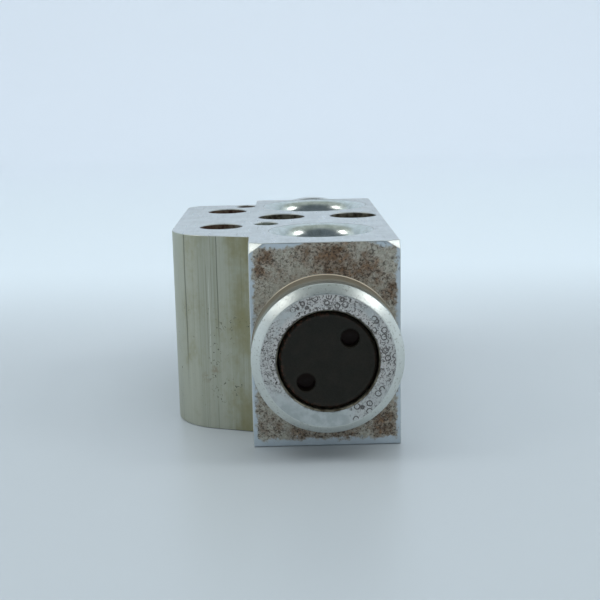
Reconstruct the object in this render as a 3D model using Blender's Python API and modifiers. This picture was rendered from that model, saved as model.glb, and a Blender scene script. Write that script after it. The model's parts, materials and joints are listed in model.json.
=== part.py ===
"""Block-type expansion valve, lying on one port face.  Blender 4.5, metres, +Z up.

Frame: the origin is on the lower port face, midway between the liquid port and the suction port of the
upper face.  The stem runs along Y at AXIS_Z: the adjuster is at the -Y end, the power element at +Y.
"""

import math

import bmesh
import bpy
from mathutils import Matrix, Vector

# Block and mounting lobe ---------------------------------------------------------------------------
BLOCK_WIDTH = 0.0240
BLOCK_HEIGHT = 0.0334
FRONT_Y = -0.0330
REAR_Y = 0.0300
AXIS_Z = 0.0164
LOBE_SIDE_X = -0.0257
LOBE_REAR_Y = 0.0220
LOBE_REAR_RADIUS = 0.0035
LOBE_FRONT_RADIUS = 0.0100
LOBE_FRONT_CENTRE_Y = -0.0133
LOBE_FRONT_SWEEP = math.radians(70)
LEFT_CORNER = (0.0026, 0.0016, 0.0018)
RIGHT_CORNER = (0.0025, 0.0012, 0.0015)

# Adjuster boss and its bore ------------------------------------------------------------------------
BOSS_RADIUS = 0.0118
BOSS_LENGTH = 0.00875
BOSS_CHAMFER = 0.0014
THREAD_BORE_RADIUS = 0.00780
THREAD_BORE_END_Y = -0.0350
SEAL_BORE_RADIUS = 0.0072
SEAL_BORE_END_Y = -0.0295
CHAMBER_RADIUS = 0.0056
CHAMBER_END_Y = -0.0135

# Ports: a rolled mouth for the pipe's seal, a bore for its spigot, and the passage behind ---------------
PORT_OFFSET_Y = 0.0186
MOUTH_CURVE = 0.00285
MOUTH_LIP_SLOPE = math.radians(10)
SPIGOT_BORE_DEPTH = 0.0070
LIQUID_MOUTH_RADIUS = 0.00895
LIQUID_PASSAGE_RADIUS = 0.0040
OUTLET_PORT_Y = -0.0115
OUTLET_PASSAGE_Y = -0.0083
OUTLET_PASSAGE_RADIUS = 0.0030
OUTLET_PASSAGE_TOP_Z = 0.0190
SUCTION_MOUTH_RADIUS = 0.01045
SUCTION_PASSAGE_RADIUS = 0.0065

# Screw holes: centre x, centre y, radius, depth (None is a through hole) ----------------------------
HOLES = {
    "lobe_front": (-0.0173, -0.0114, 0.00375, None),
    "lobe_rear": (-0.0173, 0.0114, 0.00375, None),
    "web_left": (-0.0067, 0.0010, 0.00435, None),
    "web_right": (0.0067, 0.0010, 0.00435, None),
    "locating_front": (-0.0094, -0.0089, 0.0022, 0.0060),
    "locating_rear": (-0.0139, 0.0192, 0.0020, 0.0060),
}

# Stem bores ------------------------------------------------------------------------------------------
SEAT_BORE_RADIUS = 0.0042
SEAT_BORE_END_Y = -0.0115
THROAT_RADIUS = 0.0022
BUSH_BORE_RADIUS = 0.0021
BUSH_BORE_END_Y = -0.0014
ROD_BORE_RADIUS = 0.0013
GLAND_RADIUS = 0.0030
GLAND_START_Y = 0.0062
NECK_BORE_RADIUS = 0.0093
NECK_BORE_START_Y = 0.0226
SEAL_COUNTERBORE_RADIUS = 0.0110
SEAL_COUNTERBORE_DEPTH = 0.0018

# Adjuster ------------------------------------------------------------------------------------------
PLUG_FRONT_Y = -0.04135
PLUG_RADIUS = 0.00750
PLUG_THREAD_END_Y = -0.0363
PLUG_NOSE_RADIUS = 0.0069
PLUG_END_Y = -0.0312
PLUG_EDGE_BREAK = 0.0003
PLUG_GROOVE_RADIUS = 0.0053
PLUG_GROOVE_Y = (-0.0341, -0.0321)
PLUG_SEAL_SECTION = 0.00075
SPANNER_HOLE_RADIUS = 0.00142
SPANNER_HOLE_OFFSET = 0.0034
SPANNER_HOLE_DEPTH = 0.0026
SPANNER_HOLE_POINT = 0.0008

# Spring, carrier, ball and stem ----------------------------------------------------------------------
SPRING_SEAT_Y = (-0.0309, -0.0296)
SPRING_SEAT_RADIUS = 0.0052
SPIGOT_RADIUS = 0.0023
SPIGOT_LENGTH = 0.0018
SPRING_Y = (-0.0293, -0.0188)
SPRING_RADIUS = 0.0035
SPRING_WIRE_RADIUS = 0.00055
SPRING_TURNS = 5.5
SPRING_POINTS_PER_TURN = 16
SPRING_FLAT_SHARE = 0.28
CARRIER_Y = (-0.0184, -0.0168)
CARRIER_RADIUS = 0.0043
CARRIER_CUP_Y = -0.0156
CARRIER_CUP_RADIUS = 0.0027
BALL_RADIUS = 0.0019
BALL_Y = -0.0145
DAMPER_RADIUS = 0.0046
DAMPER_THICKNESS = 0.0003
DAMPER_Y = (-0.0182, -0.0170)
DAMPER_FINGERS = 3
DAMPER_FINGER_LENGTH = 0.0026
DAMPER_FINGER_WIDTH = 0.0018
SEAT_Y = (-0.0133, -0.0118)
SEAT_RADIUS = 0.0039
ORIFICE_RADIUS = 0.0014
SEAT_CONE_RADIUS = 0.0018
ROD_RADIUS = 0.0012
ROD_TIP_RADIUS = 0.0009
ROD_TIP_Y = -0.0123
ROD_STEP_Y = -0.0095
ROD_END_Y = 0.0121
GUIDE_BUSH_RADIUS = 0.0018
GUIDE_BUSH_Y = (-0.0050, -0.0017)
ROD_CLEARANCE = 0.00006
ROD_SEAL_Y = 0.0075
ROD_SEAL_SECTION = 0.0008
RETAINER_Y = (0.0087, 0.0093)
RETAINER_RADIUS = 0.0027
SENSING_ROD_RADIUS = 0.0028
SENSING_ROD_Y = (0.0104, 0.0355)
SENSING_SOCKET_DEPTH = 0.0022

# Power element -----------------------------------------------------------------------------------------
NECK_RADIUS = 0.0090
NECK_START_Y = 0.0236
NECK_INNER_RADIUS = 0.0070
HEX_ACROSS_FLATS = 0.0240
HEX_Y = (0.0303, 0.0343)
RIM_RADIUS = 0.0163
RIM_SKIRT_THICKNESS = 0.0006
RIM_Y = 0.0402
DISH_WALL = 0.0012
DIAPHRAGM_THICKNESS = 0.0003
DIAPHRAGM_RADIUS = 0.0150
DIAPHRAGM_WAVES = 3
DIAPHRAGM_WAVE_HEIGHT = 0.00025
DOME_HEIGHT = 0.0052
DOME_WALL = 0.0010
DOME_FLAT_RADIUS = 0.0060
CHARGE_HOLE_RADIUS = 0.0015
CHARGE_PLUG_RADIUS = 0.0024
CHARGE_PLUG_CROWN_RADIUS = 0.0015
CHARGE_PLUG_HEIGHT = 0.0016
STOPPER_RADIUS = 0.0095
STOPPER_Y = (0.0384, 0.0399)
STOPPER_HUB_RADIUS = 0.0042
STOPPER_HUB_LENGTH = 0.0025
CASE_SEAL_SECTION = 0.0006

# Clearances and mesh steps --------------------------------------------------------------------------
GAP = 0.0003
SEAL_GAP = 0.0001
SEGMENTS = 40
FINE_SEGMENTS = 24
SEAL_SEGMENTS = 8
LOBE_REAR_STEPS = 8
LOBE_FRONT_STEPS = 16
MOUTH_STEPS = 7
DOME_STEPS = 6
BALL_RINGS = 16
OVERSHOOT = 0.0010
MERGE_DISTANCE = 0.00001

# Colour, roughness, metallic -------------------------------------------------------------------------
FINISHES = {
    "aluminium": ((0.60, 0.61, 0.60), 0.38, 1.0),
    "black_steel": ((0.035, 0.032, 0.030), 0.60, 0.6),
    "spring_steel": ((0.42, 0.42, 0.43), 0.35, 1.0),
    "stainless": ((0.62, 0.62, 0.61), 0.25, 1.0),
    "bearing_steel": ((0.70, 0.70, 0.70), 0.12, 1.0),
    "brass": ((0.68, 0.52, 0.24), 0.30, 1.0),
    "zinc_plate": ((0.66, 0.65, 0.60), 0.32, 1.0),
    "green_rubber": ((0.030, 0.120, 0.060), 0.65, 0.0),
    "black_rubber": ((0.020, 0.020, 0.022), 0.70, 0.0),
    "grey_plastic": ((0.32, 0.33, 0.34), 0.50, 0.0),
}


def clear_scene():
    for obj in list(bpy.data.objects):
        bpy.data.objects.remove(obj, do_unlink=True)


def make_collection(name):
    collection = bpy.data.collections.new(name)
    bpy.context.scene.collection.children.link(collection)
    return collection


def finish_material(name):
    if name in bpy.data.materials:
        return bpy.data.materials[name]
    colour, roughness, metallic = FINISHES[name]
    material = bpy.data.materials.new(name)
    material.use_nodes = True
    shader = material.node_tree.nodes["Principled BSDF"]
    shader.inputs["Base Color"].default_value = (*colour, 1.0)
    shader.inputs["Roughness"].default_value = roughness
    shader.inputs["Metallic"].default_value = metallic
    return material


def place(mesh, name, collection, finish=None):
    obj = bpy.data.objects.new(name, mesh)
    collection.objects.link(obj)
    if finish is None:
        obj.hide_render = True
        obj.display_type = "WIRE"
    else:
        mesh.materials.append(finish_material(finish))
    return obj


def turned(name, profile, collection, finish=None, closed=False, steps=SEGMENTS):
    """A solid of revolution about local Z; the profile is (radius, height), from the top down its outside."""
    points = [(radius, 0.0, height) for radius, height in profile]
    edges = [(i, i + 1) for i in range(len(points) - 1)]
    if closed:
        edges.append((len(points) - 1, 0))
    mesh = bpy.data.meshes.new(name)
    mesh.from_pydata(points, edges, [])
    obj = place(mesh, name, collection, finish)
    screw = obj.modifiers.new("turn", "SCREW")
    screw.axis = "Z"
    screw.angle = 2 * math.pi
    screw.steps = steps
    screw.render_steps = steps
    screw.use_merge_vertices = True
    screw.merge_threshold = MERGE_DISTANCE
    screw.use_smooth_shade = True
    return obj


def on_stem_axis(obj):
    """Lay a turned piece along the stem: its local Z becomes world +Y."""
    obj.location = (0.0, 0.0, AXIS_Z)
    obj.rotation_euler = (-math.pi / 2, 0.0, 0.0)
    return obj


def stem_part(name, profile, finish, closed=False, steps=SEGMENTS):
    return on_stem_axis(turned(name, profile, PARTS, finish, closed, steps))


def ring(outer, inner, y_span):
    """A closed rectangular profile from the rear face to the front face and back up the bore."""
    front, rear = y_span
    return [(inner, rear), (outer, rear), (outer, front), (inner, front)]


def round_section(radius, section, y):
    """A closed circular profile, as of an O-ring, run clockwise seen with the radius to the right."""
    points = []
    for i in range(SEAL_SEGMENTS):
        angle = -2 * math.pi * i / SEAL_SEGMENTS
        points.append((radius + section * math.cos(angle), y + section * math.sin(angle)))
    return points


def arc(centre, radius, start, end, steps):
    """Points along an arc, both ends included."""
    points = []
    for i in range(steps + 1):
        angle = start + (end - start) * i / steps
        points.append((centre[0] + radius * math.cos(angle), centre[1] + radius * math.sin(angle)))
    return points


def combine(target, other, operation):
    step = target.modifiers.new(operation.lower() + "_" + other.name, "BOOLEAN")
    step.object = other
    step.operation = operation
    step.solver = "EXACT"


def cut(target, cutter):
    combine(target, cutter, "DIFFERENCE")


def join(target, other):
    combine(target, other, "UNION")


def cylinder_tool(name, radius, start, end, collection, steps=SEGMENTS):
    """A cylinder between two points, as a cutter or a shape to be joined."""
    start, end = Vector(start), Vector(end)
    mesh = bpy.data.meshes.new(name)
    shape = bmesh.new()
    length = (end - start).length
    bmesh.ops.create_cone(shape, cap_ends=True, segments=steps, radius1=radius, radius2=radius, depth=length)
    shape.to_mesh(mesh)
    shape.free()
    obj = place(mesh, name, collection)
    turn = (end - start).to_track_quat("Z", "Y").to_matrix().to_4x4()
    obj.matrix_world = Matrix.Translation((start + end) / 2) @ turn
    return obj


# Valve body ----------------------------------------------------------------------------------------------


def body_outline():
    """Plan of the block with its lobe on the -X side, anticlockwise from the front right corner."""
    half = BLOCK_WIDTH / 2
    rear_corner = (LOBE_SIDE_X + LOBE_REAR_RADIUS, LOBE_REAR_Y - LOBE_REAR_RADIUS)
    front_corner = (LOBE_SIDE_X + LOBE_FRONT_RADIUS, LOBE_FRONT_CENTRE_Y)
    points = [(half, FRONT_Y), (half, REAR_Y), (-half, REAR_Y), (-half, LOBE_REAR_Y)]
    points += arc(rear_corner, LOBE_REAR_RADIUS, math.pi / 2, math.pi, LOBE_REAR_STEPS)
    sweep_end = math.pi + LOBE_FRONT_SWEEP
    points += arc(front_corner, LOBE_FRONT_RADIUS, math.pi, sweep_end, LOBE_FRONT_STEPS)
    last_x, last_y = points[-1]
    run = -half - last_x
    points.append((-half, last_y - run / math.tan(LOBE_FRONT_SWEEP)))
    points.append((-half, FRONT_Y))
    return points


def extruded_outline(name, points, height):
    """The outline as a flat curve extruded up from z = 0, turned into a mesh that takes modifiers."""
    curve = bpy.data.curves.new(name + "_outline", "CURVE")
    curve.dimensions = "2D"
    curve.fill_mode = "BOTH"
    curve.extrude = height / 2
    spline = curve.splines.new("POLY")
    spline.points.add(len(points) - 1)
    for point, (x, y) in zip(spline.points, points):
        point.co = (x, y, 0.0, 1.0)
    spline.use_cyclic_u = True
    drawn = bpy.data.objects.new(name + "_outline", curve)
    PARTS.objects.link(drawn)
    drawn.location = (0.0, 0.0, height / 2)
    bpy.context.view_layer.update()
    evaluated = drawn.evaluated_get(bpy.context.evaluated_depsgraph_get())
    mesh = bpy.data.meshes.new_from_object(evaluated)
    mesh.transform(drawn.matrix_world)
    bpy.data.objects.remove(drawn, do_unlink=True)
    shape = bmesh.new()
    shape.from_mesh(mesh)
    bmesh.ops.remove_doubles(shape, verts=shape.verts, dist=MERGE_DISTANCE)
    bmesh.ops.dissolve_limit(
        shape, angle_limit=math.radians(0.5), verts=shape.verts, edges=shape.edges
    )
    bmesh.ops.recalc_face_normals(shape, faces=shape.faces)
    shape.to_mesh(mesh)
    shape.free()
    return mesh


def truncate_corner(mesh, corner, size, side):
    """Cut one upper front corner off along a plane: size is along the width, the length and the height."""
    across, along, down = size
    on_width = corner + Vector((-side * across, 0.0, 0.0))
    on_length = corner + Vector((0.0, along, 0.0))
    on_height = corner + Vector((0.0, 0.0, -down))
    normal = (on_length - on_width).cross(on_height - on_width).normalized()
    if normal.dot(corner - on_width) < 0:
        normal = -normal
    shape = bmesh.new()
    shape.from_mesh(mesh)
    everything = shape.verts[:] + shape.edges[:] + shape.faces[:]
    bmesh.ops.bisect_plane(shape, geom=everything, plane_co=on_width, plane_no=normal, clear_outer=True)
    bmesh.ops.holes_fill(shape, edges=[edge for edge in shape.edges if edge.is_boundary])
    bmesh.ops.recalc_face_normals(shape, faces=shape.faces)
    shape.to_mesh(mesh)
    shape.free()


def port(name, mouth_radius, passage_radius, passage_depth, centre_y, facing_up):
    """Cutter for a port: its mouth curves from nearly flat at the lip to the straight spigot bore."""
    profile = [(0.0, OVERSHOOT), (mouth_radius, OVERSHOOT)]
    for i in range(MOUTH_STEPS + 1):
        slope = MOUTH_LIP_SLOPE + (math.pi / 2 - MOUTH_LIP_SLOPE) * i / MOUTH_STEPS
        across = MOUTH_CURVE * (math.sin(slope) - math.sin(MOUTH_LIP_SLOPE))
        down = MOUTH_CURVE * (math.cos(MOUTH_LIP_SLOPE) - math.cos(slope))
        profile.append((mouth_radius - across, -down))
    profile.append((profile[-1][0], -SPIGOT_BORE_DEPTH))
    if passage_depth > SPIGOT_BORE_DEPTH:
        profile += [(passage_radius, -SPIGOT_BORE_DEPTH), (passage_radius, -passage_depth)]
    profile.append((0.0, profile[-1][1]))
    tool = turned(name, profile, BODY_CUTTERS)
    if facing_up:
        tool.location = (0.0, centre_y, BLOCK_HEIGHT)
    else:
        tool.location = (0.0, centre_y, 0.0)
        tool.rotation_euler = (math.pi, 0.0, 0.0)
    return tool


def boss():
    front = FRONT_Y - BOSS_LENGTH
    profile = [
        (0.0, FRONT_Y + OVERSHOOT),
        (BOSS_RADIUS, FRONT_Y + OVERSHOOT),
        (BOSS_RADIUS, front + BOSS_CHAMFER),
        (BOSS_RADIUS - BOSS_CHAMFER, front),
        (0.0, front),
    ]
    return on_stem_axis(turned("boss", profile, CUTTERS, steps=2 * SEGMENTS))


def adjuster_bore():
    """The stepped bore from the boss to the valve seat: thread, seal bore, spring chamber, seat, throat."""
    throat_end = OUTLET_PASSAGE_Y - OVERSHOOT
    profile = [
        (0.0, throat_end),
        (THROAT_RADIUS, throat_end),
        (THROAT_RADIUS, SEAT_BORE_END_Y),
        (SEAT_BORE_RADIUS, SEAT_BORE_END_Y),
        (SEAT_BORE_RADIUS, CHAMBER_END_Y),
        (CHAMBER_RADIUS, CHAMBER_END_Y),
        (CHAMBER_RADIUS, SEAL_BORE_END_Y),
        (SEAL_BORE_RADIUS, SEAL_BORE_END_Y),
        (SEAL_BORE_RADIUS, THREAD_BORE_END_Y),
        (THREAD_BORE_RADIUS, THREAD_BORE_END_Y),
        (THREAD_BORE_RADIUS, FRONT_Y - BOSS_LENGTH - OVERSHOOT),
        (0.0, FRONT_Y - BOSS_LENGTH - OVERSHOOT),
    ]
    return on_stem_axis(turned("adjuster_bore", profile, BODY_CUTTERS))


def rod_bore():
    """The push rod's bore, its guide bush's seat and the gland of its seal."""
    start = OUTLET_PASSAGE_Y + OVERSHOOT
    profile = [
        (0.0, PORT_OFFSET_Y),
        (GLAND_RADIUS, PORT_OFFSET_Y),
        (GLAND_RADIUS, GLAND_START_Y),
        (ROD_BORE_RADIUS, GLAND_START_Y),
        (ROD_BORE_RADIUS, BUSH_BORE_END_Y),
        (BUSH_BORE_RADIUS, BUSH_BORE_END_Y),
        (BUSH_BORE_RADIUS, start),
        (0.0, start),
    ]
    return on_stem_axis(turned("rod_bore", profile, BODY_CUTTERS, steps=FINE_SEGMENTS))


def neck_bore():
    """The threaded bore for the power element, open to the suction passage, with its seal's counterbore."""
    profile = [
        (0.0, REAR_Y + OVERSHOOT),
        (SEAL_COUNTERBORE_RADIUS, REAR_Y + OVERSHOOT),
        (SEAL_COUNTERBORE_RADIUS, REAR_Y - SEAL_COUNTERBORE_DEPTH),
        (NECK_BORE_RADIUS, REAR_Y - SEAL_COUNTERBORE_DEPTH),
        (NECK_BORE_RADIUS, NECK_BORE_START_Y),
        (0.0, NECK_BORE_START_Y),
    ]
    return on_stem_axis(turned("neck_bore", profile, BODY_CUTTERS))


def port_cutters():
    liquid = (LIQUID_MOUTH_RADIUS, LIQUID_PASSAGE_RADIUS)
    suction = (SUCTION_MOUTH_RADIUS, SUCTION_PASSAGE_RADIUS)
    to_chamber = BLOCK_HEIGHT - AXIS_Z
    port("inlet_port", *liquid, to_chamber, -PORT_OFFSET_Y, True)
    port("outlet_port", *liquid, 0.0, OUTLET_PORT_Y, False)
    port("suction_port_upper", *suction, to_chamber, PORT_OFFSET_Y, True)
    port("suction_port_lower", *suction, AXIS_Z + OVERSHOOT, PORT_OFFSET_Y, False)
    outlet_start = (0.0, OUTLET_PASSAGE_Y, SPIGOT_BORE_DEPTH - OVERSHOOT)
    outlet_end = (0.0, OUTLET_PASSAGE_Y, OUTLET_PASSAGE_TOP_Z)
    cylinder_tool("outlet_passage", OUTLET_PASSAGE_RADIUS, outlet_start, outlet_end, BODY_CUTTERS)


def hole_cutters():
    top = BLOCK_HEIGHT + OVERSHOOT
    for name, (x, y, radius, depth) in HOLES.items():
        bottom = -OVERSHOOT if depth is None else BLOCK_HEIGHT - depth
        cylinder_tool(name, radius, (x, y, bottom), (x, y, top), BODY_CUTTERS, FINE_SEGMENTS)


def valve_body():
    mesh = extruded_outline("valve_body", body_outline(), BLOCK_HEIGHT)
    half = BLOCK_WIDTH / 2
    truncate_corner(mesh, Vector((-half, FRONT_Y, BLOCK_HEIGHT)), LEFT_CORNER, -1)
    truncate_corner(mesh, Vector((half, FRONT_Y, BLOCK_HEIGHT)), RIGHT_CORNER, 1)
    body = place(mesh, "valve_body", PARTS, "aluminium")
    join(body, boss())
    adjuster_bore()
    neck_bore()
    rod_bore()
    port_cutters()
    hole_cutters()
    step = body.modifiers.new("bores_ports_and_holes", "BOOLEAN")
    step.operand_type = "COLLECTION"
    step.collection = BODY_CUTTERS
    step.operation = "DIFFERENCE"
    step.solver = "EXACT"
    return body


# Adjuster --------------------------------------------------------------------------------------------------


def adjusting_plug():
    groove_front, groove_rear = PLUG_GROOVE_Y
    profile = [
        (0.0, PLUG_END_Y),
        (PLUG_NOSE_RADIUS, PLUG_END_Y),
        (PLUG_NOSE_RADIUS, groove_rear),
        (PLUG_GROOVE_RADIUS, groove_rear),
        (PLUG_GROOVE_RADIUS, groove_front),
        (PLUG_NOSE_RADIUS, groove_front),
        (PLUG_NOSE_RADIUS, PLUG_THREAD_END_Y),
        (PLUG_RADIUS, PLUG_THREAD_END_Y),
        (PLUG_RADIUS, PLUG_FRONT_Y + PLUG_EDGE_BREAK),
        (PLUG_RADIUS - PLUG_EDGE_BREAK, PLUG_FRONT_Y),
        (0.0, PLUG_FRONT_Y),
    ]
    plug = stem_part("adjusting_plug", profile, "black_steel")
    for side in (1, -1):
        cut(plug, spanner_hole(side))
    return plug


def spanner_hole(side):
    """Cutter for one blind pin hole of the face spanner, with its drill point."""
    floor = PLUG_FRONT_Y + SPANNER_HOLE_DEPTH
    profile = [
        (0.0, floor + SPANNER_HOLE_POINT),
        (SPANNER_HOLE_RADIUS, floor),
        (SPANNER_HOLE_RADIUS, PLUG_FRONT_Y - OVERSHOOT),
        (0.0, PLUG_FRONT_Y - OVERSHOOT),
    ]
    label = "right" if side > 0 else "left"
    tool = on_stem_axis(turned("spanner_hole_" + label, profile, CUTTERS, steps=FINE_SEGMENTS))
    tool.location.x = side * SPANNER_HOLE_OFFSET
    tool.location.z = AXIS_Z + side * SPANNER_HOLE_OFFSET
    return tool


def plug_o_ring():
    middle = sum(PLUG_GROOVE_Y) / 2
    radius = PLUG_GROOVE_RADIUS + SEAL_GAP + PLUG_SEAL_SECTION
    profile = round_section(radius, PLUG_SEAL_SECTION, middle)
    return stem_part("plug_o_ring", profile, "green_rubber", True, FINE_SEGMENTS)


def spring_seat():
    front, rear = SPRING_SEAT_Y
    profile = [
        (0.0, rear + SPIGOT_LENGTH),
        (SPIGOT_RADIUS, rear + SPIGOT_LENGTH),
        (SPIGOT_RADIUS, rear),
        (SPRING_SEAT_RADIUS, rear),
        (SPRING_SEAT_RADIUS, front),
        (0.0, front),
    ]
    return stem_part("spring_seat", profile, "brass", steps=FINE_SEGMENTS)


# Spring, ball and stem -----------------------------------------------------------------------------------


def superheat_spring():
    """A round-wire compression spring whose end turns lie flat."""
    curve = bpy.data.curves.new("superheat_spring", "CURVE")
    curve.dimensions = "3D"
    curve.bevel_depth = SPRING_WIRE_RADIUS
    curve.bevel_resolution = 2
    curve.use_fill_caps = True
    count = int(SPRING_TURNS * SPRING_POINTS_PER_TURN) + 1
    spline = curve.splines.new("POLY")
    spline.points.add(count - 1)
    bottom = SPRING_Y[0] + SPRING_WIRE_RADIUS
    top = SPRING_Y[1] - SPRING_WIRE_RADIUS
    for i, point in enumerate(spline.points):
        share = i / (count - 1)
        eased = share - math.sin(2 * math.pi * share) / (2 * math.pi)
        blend = (1 - SPRING_FLAT_SHARE) * share + SPRING_FLAT_SHARE * eased
        angle = 2 * math.pi * SPRING_TURNS * share
        height = bottom + (top - bottom) * blend
        point.co = (SPRING_RADIUS * math.cos(angle), SPRING_RADIUS * math.sin(angle), height, 1.0)
    obj = bpy.data.objects.new("superheat_spring", curve)
    PARTS.objects.link(obj)
    curve.materials.append(finish_material("spring_steel"))
    return on_stem_axis(obj)


def ball_carrier():
    front, rear = CARRIER_Y
    profile = [
        (0.0, rear),
        (CARRIER_CUP_RADIUS - 2 * GAP, CARRIER_CUP_Y),
        (CARRIER_CUP_RADIUS, CARRIER_CUP_Y),
        (CARRIER_CUP_RADIUS, rear),
        (CARRIER_RADIUS, rear),
        (CARRIER_RADIUS, front),
        (SPIGOT_RADIUS, front),
        (SPIGOT_RADIUS, front - SPIGOT_LENGTH),
        (0.0, front - SPIGOT_LENGTH),
    ]
    return stem_part("ball_carrier", profile, "stainless", steps=FINE_SEGMENTS)


def valve_ball():
    mesh = bpy.data.meshes.new("valve_ball")
    shape = bmesh.new()
    bmesh.ops.create_uvsphere(
        shape, u_segments=FINE_SEGMENTS, v_segments=BALL_RINGS, radius=BALL_RADIUS
    )
    shape.to_mesh(mesh)
    shape.free()
    mesh.shade_smooth()
    ball = place(mesh, "valve_ball", PARTS, "bearing_steel")
    ball.location = (0.0, BALL_Y, AXIS_Z)
    return ball


def anti_vibration_spring():
    """A thin sleeve round the carrier with fingers that rub lightly on the spring chamber's wall."""
    rear = DAMPER_Y[1]
    outer = DAMPER_RADIUS + DAMPER_THICKNESS
    damper = stem_part(
        "anti_vibration_spring", ring(outer, DAMPER_RADIUS, DAMPER_Y), "spring_steel", True, FINE_SEGMENTS
    )
    for i in range(DAMPER_FINGERS):
        mesh = bpy.data.meshes.new("damper_finger")
        shape = bmesh.new()
        bmesh.ops.create_cube(shape, size=1.0)
        size = (DAMPER_THICKNESS, DAMPER_FINGER_LENGTH, DAMPER_FINGER_WIDTH)
        bmesh.ops.scale(shape, vec=size, verts=shape.verts)
        offset = (outer - DAMPER_THICKNESS / 4, rear - DAMPER_FINGER_LENGTH / 2 - GAP, 0.0)
        bmesh.ops.translate(shape, vec=offset, verts=shape.verts)
        shape.to_mesh(mesh)
        shape.free()
        finger = place(mesh, "damper_finger_%d" % (i + 1), CUTTERS)
        finger.location = (0.0, 0.0, AXIS_Z)
        finger.rotation_euler = (0.0, 2 * math.pi * (i + 0.5) / DAMPER_FINGERS, 0.0)
        join(damper, finger)
    return damper


def orifice_seat():
    front, rear = SEAT_Y
    profile = [
        (ORIFICE_RADIUS, rear),
        (SEAT_RADIUS, rear),
        (SEAT_RADIUS, front),
        (SEAT_CONE_RADIUS, front),
        (ORIFICE_RADIUS, front + SEAT_CONE_RADIUS - ORIFICE_RADIUS),
    ]
    return stem_part("orifice_seat", profile, "stainless", True, FINE_SEGMENTS)


def push_rod():
    profile = [
        (0.0, ROD_END_Y),
        (ROD_RADIUS, ROD_END_Y),
        (ROD_RADIUS, ROD_STEP_Y),
        (ROD_TIP_RADIUS, ROD_STEP_Y),
        (ROD_TIP_RADIUS, ROD_TIP_Y),
        (0.0, ROD_TIP_Y),
    ]
    return stem_part("push_rod", profile, "stainless", steps=FINE_SEGMENTS)


def guide_bush():
    profile = ring(GUIDE_BUSH_RADIUS, ROD_RADIUS + ROD_CLEARANCE, GUIDE_BUSH_Y)
    return stem_part("guide_bush", profile, "brass", True, FINE_SEGMENTS)


def rod_o_ring():
    radius = ROD_RADIUS + ROD_CLEARANCE + ROD_SEAL_SECTION
    profile = round_section(radius, ROD_SEAL_SECTION, ROD_SEAL_Y)
    return stem_part("rod_o_ring", profile, "black_rubber", True, FINE_SEGMENTS)


def seal_retainer():
    profile = ring(RETAINER_RADIUS, ROD_RADIUS + GAP, RETAINER_Y)
    return stem_part("seal_retainer", profile, "grey_plastic", True, FINE_SEGMENTS)


def sensing_rod():
    """The thick rod that crosses the suction passage and carries the vapour's warmth to the power element."""
    front, rear = SENSING_ROD_Y
    socket = ROD_RADIUS + GAP
    profile = [
        (0.0, rear),
        (SENSING_ROD_RADIUS, rear),
        (SENSING_ROD_RADIUS, front),
        (socket, front),
        (socket, front + SENSING_SOCKET_DEPTH),
        (0.0, front + SENSING_SOCKET_DEPTH),
    ]
    return stem_part("sensing_rod", profile, "brass", steps=FINE_SEGMENTS)


# Power element -----------------------------------------------------------------------------------------


def diaphragm_stopper():
    front, rear = STOPPER_Y
    profile = [
        (0.0, rear),
        (STOPPER_RADIUS, rear),
        (STOPPER_RADIUS, front),
        (STOPPER_HUB_RADIUS, front),
        (STOPPER_HUB_RADIUS, front - STOPPER_HUB_LENGTH),
        (0.0, front - STOPPER_HUB_LENGTH),
    ]
    return stem_part("diaphragm_stopper", profile, "brass")


def lower_case():
    """Neck, hexagon and dish in one piece; its bore is open to the suction passage."""
    hex_front, hex_rear = HEX_Y
    hex_edge = HEX_ACROSS_FLATS / 2 - GAP
    rim = RIM_RADIUS - RIM_SKIRT_THICKNESS - GAP
    profile = [
        (rim - 2 * DISH_WALL, RIM_Y),
        (rim, RIM_Y),
        (rim, RIM_Y - DISH_WALL),
        (rim - DISH_WALL, RIM_Y - DISH_WALL),
        (hex_edge, hex_rear + GAP),
        (hex_edge, hex_front),
        (NECK_RADIUS, hex_front),
        (NECK_RADIUS, NECK_START_Y),
        (NECK_INNER_RADIUS, NECK_START_Y),
        (NECK_INNER_RADIUS, hex_rear + DISH_WALL),
        (hex_edge - DISH_WALL, hex_rear + DISH_WALL),
    ]
    case = stem_part("lower_case", profile, "zinc_plate", True)
    join(case, hexagon())
    return case


def hexagon():
    """The spanner hexagon, bored out so that it can be joined to the turned case."""
    front, rear = HEX_Y
    corner_radius = HEX_ACROSS_FLATS / math.sqrt(3)
    nut = cylinder_tool("hexagon", corner_radius, (0.0, front, AXIS_Z), (0.0, rear, AXIS_Z), CUTTERS, 6)
    opening = (NECK_INNER_RADIUS + NECK_RADIUS) / 2
    start = (0.0, front - OVERSHOOT, AXIS_Z)
    end = (0.0, rear + OVERSHOOT, AXIS_Z)
    cut(nut, cylinder_tool("hexagon_bore", opening, start, end, CUTTERS))
    return nut


def diaphragm():
    """A thin disc with concentric waves, clamped at its edge between the two cases."""
    middle = RIM_Y + GAP + DIAPHRAGM_THICKNESS / 2
    mid_line = []
    steps = 4 * DIAPHRAGM_WAVES
    wave_start = STOPPER_RADIUS
    wave_end = DIAPHRAGM_RADIUS - 2 * DISH_WALL
    for i in range(steps + 1):
        share = i / steps
        wave = DIAPHRAGM_WAVE_HEIGHT * (1 - math.cos(2 * math.pi * DIAPHRAGM_WAVES * share)) / 2
        mid_line.append((wave_start + (wave_end - wave_start) * share, middle - wave))
    mid_line.append((DIAPHRAGM_RADIUS, middle))
    half = DIAPHRAGM_THICKNESS / 2
    profile = [(0.0, middle + half)] + [(radius, y + half) for radius, y in mid_line]
    profile += [(radius, y - half) for radius, y in reversed(mid_line)] + [(0.0, middle - half)]
    return stem_part("diaphragm", profile, "stainless", steps=FINE_SEGMENTS)


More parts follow.
